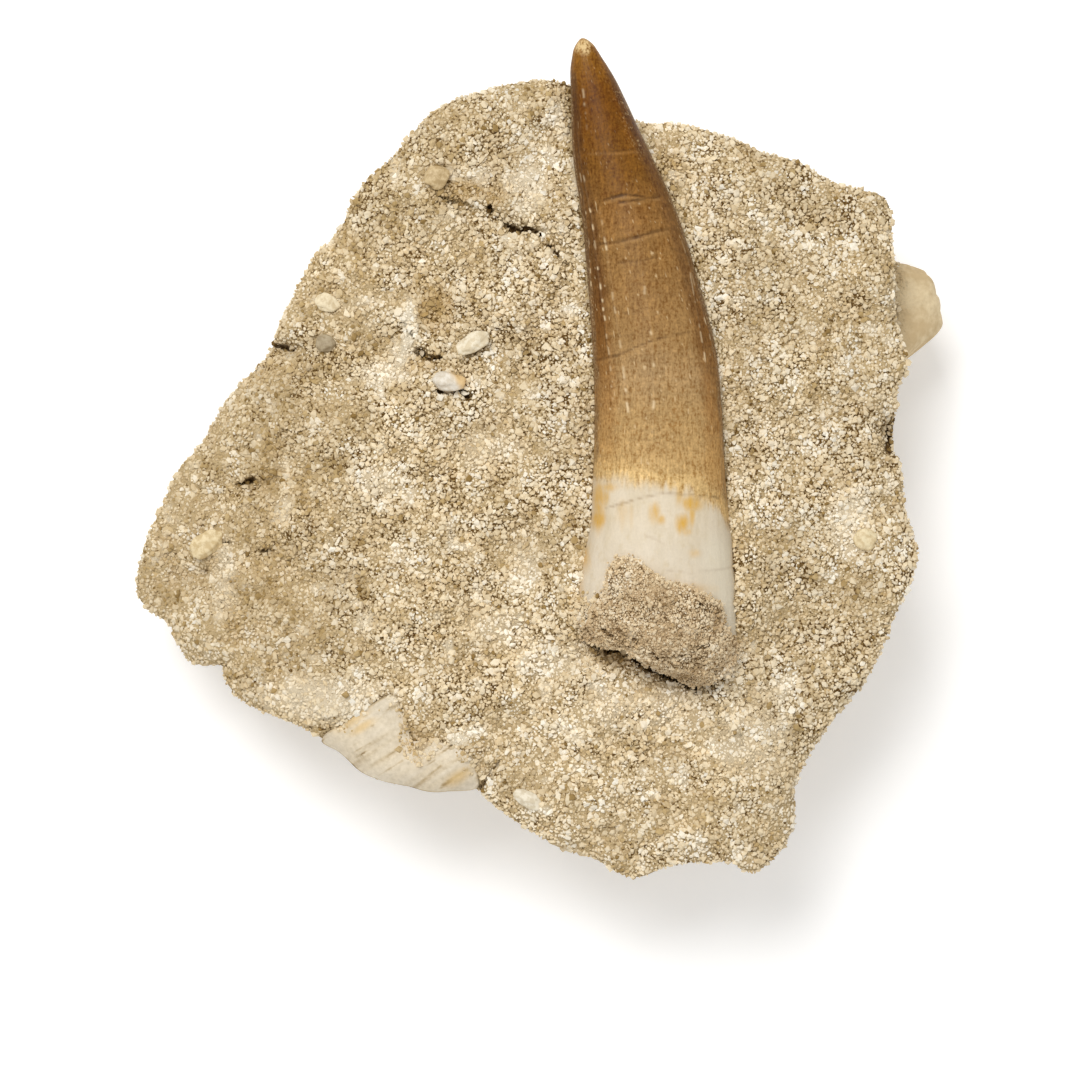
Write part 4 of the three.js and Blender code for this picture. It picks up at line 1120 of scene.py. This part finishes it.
# Enamel: browns along the length, sides darker in colour and in painted shade, highlights and glints painted
# on the ridges, cracks and crown, and a fine weave.
# Root: cream with golden stains
enamel = Finish("toothEnamel", {"Specular IOR Level": 0.11})
place = enamel.place()
along = enamel.node("ShaderNodeSeparateXYZ", None, {0: place}, 1)
mottle = enamel.grain(place, (520, 170, 520), 4.0, 0.6)
hairs = enamel.grain(place, (4600, 1000, 4600), 3.0, 0.6)
threads = enamel.grain(place, (1500, 4600, 1500), 3.0, 0.6)
fine = enamel.grain(place, (6000, 5000, 6000), 2.0, 0.6)
upTooth = (along + 0.003) / 0.0363  # 0 at the border, 1 at the tip
brown = enamel.ramp(upTooth + (mottle - 0.5) * 0.12, [
    (0.0, tint(188, 154, 101)), (0.077, tint(182, 148, 97)), (0.165, tint(171, 138, 90)),
    (0.25, tint(165, 133, 90)), (0.34, tint(150, 116, 71)), (0.43, tint(147, 111, 65)),
    (0.52, tint(141, 104, 57)), (0.61, tint(136, 97, 50)), (0.70, tint(118, 78, 27)),
    (0.78, tint(114, 72, 20)), (0.87, tint(107, 64, 13)), (0.95, tint(128, 84, 24)),
    (1.0, tint(158, 118, 60)),
])
# Darker browns for the sides of the crown: partly their colour and partly painted shade
flankBrownAndShade = enamel.ramp(upTooth, [
    (0.077, tint(176, 130, 68)), (0.165, tint(156, 108, 50)), (0.25, tint(143, 99, 46)),
    (0.34, tint(121, 81, 36)), (0.43, tint(106, 70, 32)), (0.52, tint(99, 65, 30)),
    (0.70, tint(86, 55, 24)), (0.87, tint(78, 50, 21)), (1.0, tint(104, 72, 38)),
])
brown = enamel.mix(enamel.kept("flank") * (0.5 + 0.7 * mottle), brown, flankBrownAndShade)
# The dark band at the outermost edge: partly its colour and partly painted shade
brown = enamel.mix(enamel.kept("outer") * 0.7, brown, tint(116, 88, 56))
specks = enamel.mask(fine, 0.52, 0.66)
# Pale specks on that band: painted glints
brown = enamel.mix(enamel.kept("outer") * specks * 0.6, brown, tint(196, 172, 132))
brown = enamel.mix(enamel.kept("greyFlank") * specks * 0.8, brown, tint(186, 162, 118))
brown = enamel.mix(enamel.kept("band") * 0.8, brown, tint(212, 180, 124))
crumbs = enamel.grain(place, (4400, 3200, 4400), 2.0, 0.6)
texture = (hairs - 0.5) * 0.9 + (threads - 0.5) * 0.4 + (crumbs - 0.5) * 0.6 + (fine - 0.5) * 0.7
texture = texture * (1.3 + 0.1 * enamel.mask(along, 0.006, 0.02))
bright = 0.8 + 0.4 * enamel.kept("weave") + texture + (mottle - 0.5) * 0.3
brown = enamel.lit(brown, enamel.maths("MAXIMUM", bright, 0.56))
warm = enamel.mix(1.0, brown, tint(255, 222, 160), "MULTIPLY")
brown = enamel.mix(enamel.mask(texture, 0.0, -0.3) * 0.6, brown, warm)
# Painted highlights: the pale lip below the cracks, the marks on the ridges and the glints; wrinkles are dark
# lines
for key, strength, colour in [
    ("crackLip", 0.3, tint(196, 156, 102)), ("wrinkles", 0.3, tint(84, 54, 24)),
    ("dashes", 1.0, tint(226, 202, 162)), ("glints", 0.7, tint(218, 190, 146)),
]:
    brown = enamel.mix(enamel.kept(key) * strength, brown, colour)
tipShare = enamel.kept("tipPale") * enamel.mask(mottle + (fine - 0.5) * 0.6, 0.38, 0.6)
brown = enamel.mix(tipShare * 0.9, brown, tint(222, 194, 142))
cream = enamel.mix(enamel.mask(mottle, 0.35, 0.7), tint(222, 208, 184), tint(210, 194, 165))
cream = enamel.mix(enamel.mask(along, -0.004, -0.0085) * 0.5, cream, tint(219, 208, 190))
blotch = enamel.grain(place, (1400, 900, 1400), 3.0, 0.6)
cream = enamel.mix(enamel.mask(blotch, 0.5, 0.72) * 0.45, cream, tint(204, 186, 152))
cream = enamel.mix(enamel.kept("greyRoot") * 0.7, cream, tint(226, 216, 193))
cream = enamel.mix(enamel.kept("stain") * (0.4 + 1.1 * hairs), cream, tint(212, 166, 76))
cream = enamel.lit(cream, 0.96 + 0.05 * enamel.kept("weave") + (fine - 0.5) * 0.16 + (hairs - 0.5) * 0.12)
skin = enamel.mix(enamel.mask(enamel.kept("root") + (hairs - 0.5) * 0.5, 0.1, 0.9), brown, cream)
skin = enamel.mix(enamel.kept("crack") * (1.0 - enamel.kept("root")), skin, tint(72, 46, 22))
skin = enamel.mix(enamel.kept("crack") * enamel.kept("root") * 0.7, skin, tint(136, 104, 66))
enamel.bump(fine, 0.3, 0.00005)
enamelPaint = enamel.paint(skin, 0.45 + 0.2 * enamel.kept("root") + (fine - 0.5) * 0.2)
makePiece("toothSurface", points, faces, uv, enamelPaint, "tooth", marks)


# A lump from an outline: rings from the centre to the edge, wall rows down to the underside, and a fan
def lumpSkin(shape, radiusAt, topAt, bottomAt, undercut):
    angles = np.arange(shape["columns"]) / shape["columns"] * fullTurn
    edge = radiusAt(angles)
    loops = []
    for share in np.arange(1, shape["rings"] + 1) / shape["rings"]:
        x, y = placeAround(shape, angles, share * edge)
        loops.append(np.stack([x, y, topAt(x, y, share)], -1))
    upper = loops[-1]
    for down in np.arange(1, shape["wallRows"] + 1) / shape["wallRows"]:
        inset = undercut * smooth(down) + 0.12 * smooth(down / 0.2)
        share = 1 - inset / edge
        x, y = placeAround(shape, angles, share * edge)
        low = bottomAt(x, y, share)
        loops.append(np.stack([x, y, upper[:, 2] + (low - upper[:, 2]) * down], -1))
    x, y = np.array(shape["centre"])[:, None]
    middle = 0 * x
    ends = [(x[0], y[0], heightAt(x, y, middle)[0]) for heightAt in (topAt, bottomAt)]
    return closedSkin(np.array(loops), *ends)


# Top of the crust: what lies under it, falling from the root's height to the rock's past its end, plus its
# thickness, and never under the root's leaning end
def crustTop(x, y, share):
    past = rootY - toothAcross(x, y)[0]
    fall = smooth((past - crust["fallFrom"]) / crust["fallOver"])
    ground = topHeight(x, y) + crust["above"]
    overRoot = np.maximum(toothTop(x, y), toothTop(x, y + crust["endLean"]))
    held = np.maximum(ground, overRoot)
    thick = crust["edge"] + (crust["thick"] - crust["edge"]) * (1 - share**3)
    z = held * (1 - fall) + ground * fall + thick + 0.1 * rockWaves(x, y, 3, 5, 6)
    z = z + 0.24 * cloud(x, y, 2, 1.7, 103) - slab["sink"]
    z = z - crackDepth(x, y, crust["cracks"])
    return z + np.maximum(0, overRoot + 0.2 - z) * smooth((1.9 - past) / 1.1)


# Underside of the crust: just inside the root, and down in the ground past the root's end
def crustBottom(x, y, share):
    onRoot = rootY - toothAcross(x, y)[0] < -0.4
    inGround = topHeight(x, y) - 1.7
    z = np.where(onRoot, np.maximum(inGround, toothTop(x, y) - 0.5), inGround)
    return np.minimum(z, crustTop(x, y, 1.0) - 0.3)


points, faces, uv = lumpSkin(crust, crustRadius, crustTop, crustBottom, crust["undercut"])
crustGroundPaint = groundFinish(
    "crustGround", tint(116, 90, 58), tint(194, 168, 130), tint(184, 154, 110), tint(220, 206, 180)
)
crustPaint = sandFinish("crustGrains", crustStops)
# Painted shade in the crust's cracks, kept as the dark value of its points
dark = crackShadeShare(crust, points[:, 0], points[:, 1]) * (points[:, 2] > 17.5)
values = groundValues(points, dark)
makePiece("crustGround", points, faces, uv, crustGroundPaint, "root_crust", values)

# Sand on the crust: its top, with more where it falls steeply, and its wall
draw = np.random.default_rng(41)
x, y = scatter((2, -20), (17, -6), sand["crustSpacing"], draw)
steepX, steepY = scatter((2, -20), (17, -13), sand["crustSpacing"], draw)
steep = crustShare(steepX, steepY) > 0.72
x, y = np.concatenate([x, steepX[steep]]), np.concatenate([y, steepY[steep]])
share = crustShare(x, y) - np.where(draw.random(len(x)) < 0.35, 0.06, 0)
keep = (share < 1) & (y > -18.6)
x, y, share = x[keep], y[keep], share[keep]
# Painted shade of the crust's cracks at each grain
dark = crackShadeShare(crust, x, y)
tones, shades, _, cement = sandTones(x, y, np.full(len(x), crust["toneAt"]), draw, dark)
# The crust's lower part a little darker: painted shade where it faces away from the light
shades = shades * (1 - 0.03 * smooth((-13 - y) / 2.5))
radii = grainRadii(sand["crustSpacing"], len(x), draw)
z = crustTop(x, y, share) + radii * (draw.uniform(-0.2, 0.8, len(x)) - 0.3 * cement)
wallAngle = draw.uniform(0, fullTurn, 3600)
wallX, wallY = placeAround(crust, wallAngle, crustRadius(wallAngle) - 0.15)
high, low = crustTop(wallX, wallY, 1.0), crustBottom(wallX, wallY, 1.0)
wallZ = high + (low - high) * draw.uniform(0, 0.9, len(wallAngle))
wallTones, wallShades = sandTones(wallX, wallY, wallZ, draw)[:2]
spots = np.concatenate([np.stack([x, y, z], -1), np.stack([wallX, wallY, wallZ], -1)])
radii = np.concatenate([radii, grainRadii(0.26, len(wallAngle), draw)])
tones, shades = np.concatenate([tones, wallTones]), np.concatenate([shades, wallShades])
sandPieces("crustSand", spots, radii, tones, shades, crustPaint, 42)


# Underside of the flake: thinner towards its edge
def flakeBottom(x, y, share):
    return topHeight(x, y) - flake["thick"] * (1 - 0.4 * share)


points, faces, uv = lumpSkin(flake, flakeRadius, flakeTop, flakeBottom, 0.1)
px, py = points[:, 0], points[:, 1]
along, across = fibrePlace(px, py)
bone = Finish("boneFlake", {"Roughness": 0.6, "Specular IOR Level": 0.4})
streak = bone.kept("streak")
speck = bone.grain(bone.place(), (3000, 3000, 3000), 3.0, 0.6)
colour = bone.ramp(streak + (speck - 0.5) * 0.3, [
    (0.0, tint(138, 114, 76)), (0.2, tint(186, 166, 132)),
    (0.45, tint(212, 197, 170)), (1.0, tint(226, 215, 196)),
])
colour = bone.mix(bone.kept("orange") * 0.75, colour, tint(214, 182, 124))
colour = bone.lit(colour, 1.0 + (speck - 0.5) * 0.4)
bone.bump(speck, 0.4, 0.0001)
streakValue = 0.6 + 0.3 * noise(along / 9, across, 0, 0.3, 115) + 0.25 * noise(along / 3, across, 0, 0.9, 117)
streakValue = streakValue - 0.45 * smooth(3.5 * noise(along / 9, across, 0, 0.24, 119) - 1.2)
wander = 0.12 * noise(along, across, 0, 0.6, 121)
for line in flake["splits"]:
    streakValue = streakValue - 0.3 * bell((lineDistance(px, py, line) + wander) / 0.08)
streakValue = streakValue - 0.35 * smooth((flakeShare(px, py) - 0.95) / 0.04)
orange = np.zeros(len(points))
for ox, oy, wide, long in flake["orange"]:
    orangeAlong, orangeAcross = fibrePlace(px - ox, py - oy)
    orange = np.maximum(orange, smooth((1.8 - np.hypot(orangeAlong / long, orangeAcross / wide)) / 1.5))
values = {"streak": streakValue, "orange": orange}
makePiece("boneFlakeSurface", points, faces, uv, bone.paint(colour), "bone_flake", values)


chipLooks = {
    # pale colour, darker colour, colour of a patch, where the patch begins along x, slot
    "shell_fragment": (tint(226, 218, 203), tint(208, 196, 176), tint(222, 190, 138), 0.42, "shell"),
    "bone_chip": (tint(232, 221, 196), tint(214, 198, 166), tint(226, 206, 166), 2.0, "bone"),
    "grey_pebble": (tint(170, 154, 124), tint(148, 130, 100), tint(160, 140, 110), 2.0, "pebble"),
    "pale_chip": (tint(228, 212, 178), tint(204, 184, 146), tint(226, 206, 166), 2.0, "bone"),
    "round_pebble": (tint(206, 183, 140), tint(176, 150, 106), tint(210, 186, 140), 2.0, "pebble"),
    "cream_lump": (tint(226, 207, 166), tint(200, 176, 130), tint(220, 196, 146), 2.0, "bone"),
    "right_chip": (tint(228, 212, 174), tint(206, 184, 142), tint(226, 206, 166), 2.0, "bone"),
    "lower_chip": (tint(230, 220, 198), tint(208, 194, 166), tint(226, 206, 166), 2.0, "bone"),
}


chipRows, chipColumns = 32, 56


# A chip: a ball squashed to its three sizes, made uneven by waves and noise, then turned about the vertical
def chipSkin(chip, seed):
    latitude = np.linspace(0, math.pi, chipRows + 2)[1:-1, None]
    longitude = (np.arange(chipColumns) / chipColumns * fullTurn)[None]
    x = np.sin(latitude) * np.cos(longitude)
    y = np.sin(latitude) * np.sin(longitude)
    z = np.cos(latitude) * np.ones(longitude.shape)
    poles = np.array([[0, 0, 1.0], [0, 0, -1.0]])
    ball = np.concatenate([np.stack([x, y, z], -1).reshape(-1, 3), poles])
    bx, by, bz = ball.T
    atX, atY = chip["at"]
    uneven = 1 + 0.06 * rockWaves(bx * 3 + atX, by * 3 + atY, bz * 3, 5, 4)
    uneven = uneven + 0.07 * cloud(bx, by, bz, 0.7, seed)
    ball = ball * np.array(chip["size"]) * [1, 1, 0.8] * uneven[:, None]
    c, s = math.cos(math.radians(chip["turn"])), math.sin(math.radians(chip["turn"]))
    middle = topHeight(np.array([atX]), np.array([atY]))[0] + 0.35 * chip["size"][2]
    x, y, z = ball.T
    turned = np.stack([x * c - y * s + atX, x * s + y * c + atY, z + middle], -1)
    points, faces, uv = closedSkin(turned[:-2].reshape(chipRows, chipColumns, 3), turned[-2], turned[-1])
    return points, faces, uv, bx, by


for seed, (name, chip) in enumerate(chips.items()):
    pale, dark, patch, patchFrom, slot = chipLooks[name]
    points, faces, uv, bx, by = chipSkin(chip, 120 + seed)
    finish = Finish(name + "Paint", {"Roughness": 0.55, "Specular IOR Level": 0.4})
    speck = finish.grain(finish.place(), (2200, 2200, 2200), 3.0, 0.6)
    colour = finish.mix(finish.mask(speck, 0.38, 0.62), dark, pale)
    colour = finish.mix(finish.kept("patch"), colour, patch)
    finish.bump(speck, 0.4, 0.0001)
    lean = 0.85 * bx + 0.5 * by + 0.3 * noise(points[:, 0], points[:, 1], 0, 0.6, 131)
    patchShare = smooth((lean - patchFrom) / 0.6 + 0.5)
    makePiece(name + "Surface", points, faces, uv, finish.paint(colour), name, {"patch": patchShare})


# Soft studio: a pale floor, two square lights and an even sky
studio = {
    "floorHalf": 1.5, "floor": 0.93, "glow": 0.2, "world": 0.5,
    "key": {"at": (-0.14, 0.27, 0.54), "size": 0.28, "power": 2.55},
    "fill": {"at": (0.12, -0.38, 0.42), "size": 0.6, "power": 0.6},
}
floorFinish = Finish("studioFloor", {"Roughness": 0.9, "Specular IOR Level": 0.1})
half = studio["floorHalf"]
floorMesh = bpy.data.meshes.new("studioFloor")
corners = [(-half, -half, 0), (half, -half, 0), (half, half, 0), (-half, half, 0)]
floorMesh.from_pydata(corners, [], [(0, 1, 2, 3)])
floorTone = floorFinish.grain(floorFinish.place(), (9, 9, 9), 2.0, 0.5)
white = studio["floor"]
brighter = (white + 0.02, white + 0.02, white + 0.015, 1)
floorColour = floorFinish.mix(floorTone, (white, white, white, 1), brighter)
floorFinish.shader.inputs["Emission Color"].default_value = (1, 1, 1, 1)
floorFinish.shader.inputs["Emission Strength"].default_value = studio["glow"]
floorMesh.materials.append(floorFinish.paint(floorColour))
floor = bpy.data.objects.new("studioFloor", floorMesh)
bpy.context.scene.collection.objects.link(floor)
floor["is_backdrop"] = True

world = bpy.data.worlds.new("studioAir")
world.use_nodes = True
world.node_tree.nodes["Background"].inputs["Color"].default_value = (1.0, 0.99, 0.975, 1)
world.node_tree.nodes["Background"].inputs["Strength"].default_value = studio["world"]
bpy.context.scene.world = world


# A square soft light aimed at the middle of the slab
def softLight(name, at, size, power):
    data = bpy.data.lights.new(name, "AREA")
    data.size, data.energy = size, power
    lamp = bpy.data.objects.new(name, data)
    lamp.location = at
    aim = -lamp.location.normalized()
    lamp.rotation_euler = aim.to_track_quat("-Z", "Y").to_euler()
    bpy.context.scene.collection.objects.link(lamp)


softLight("keyLight", **studio["key"])
softLight("fillLight", **studio["fill"])

# Camera straight above, as in the photograph
cameraData = bpy.data.cameras.new("photoCamera")
cameraData.lens, cameraData.sensor_width, cameraData.clip_start = 135, 36, 0.01
camera = bpy.data.objects.new("photoCamera", cameraData)
camera.location = (0, -6.56 * mm, 340.8 * mm)
bpy.context.scene.collection.objects.link(camera)
bpy.context.scene.camera = camera
bpy.context.scene.view_settings.view_transform = "Standard"

low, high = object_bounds()
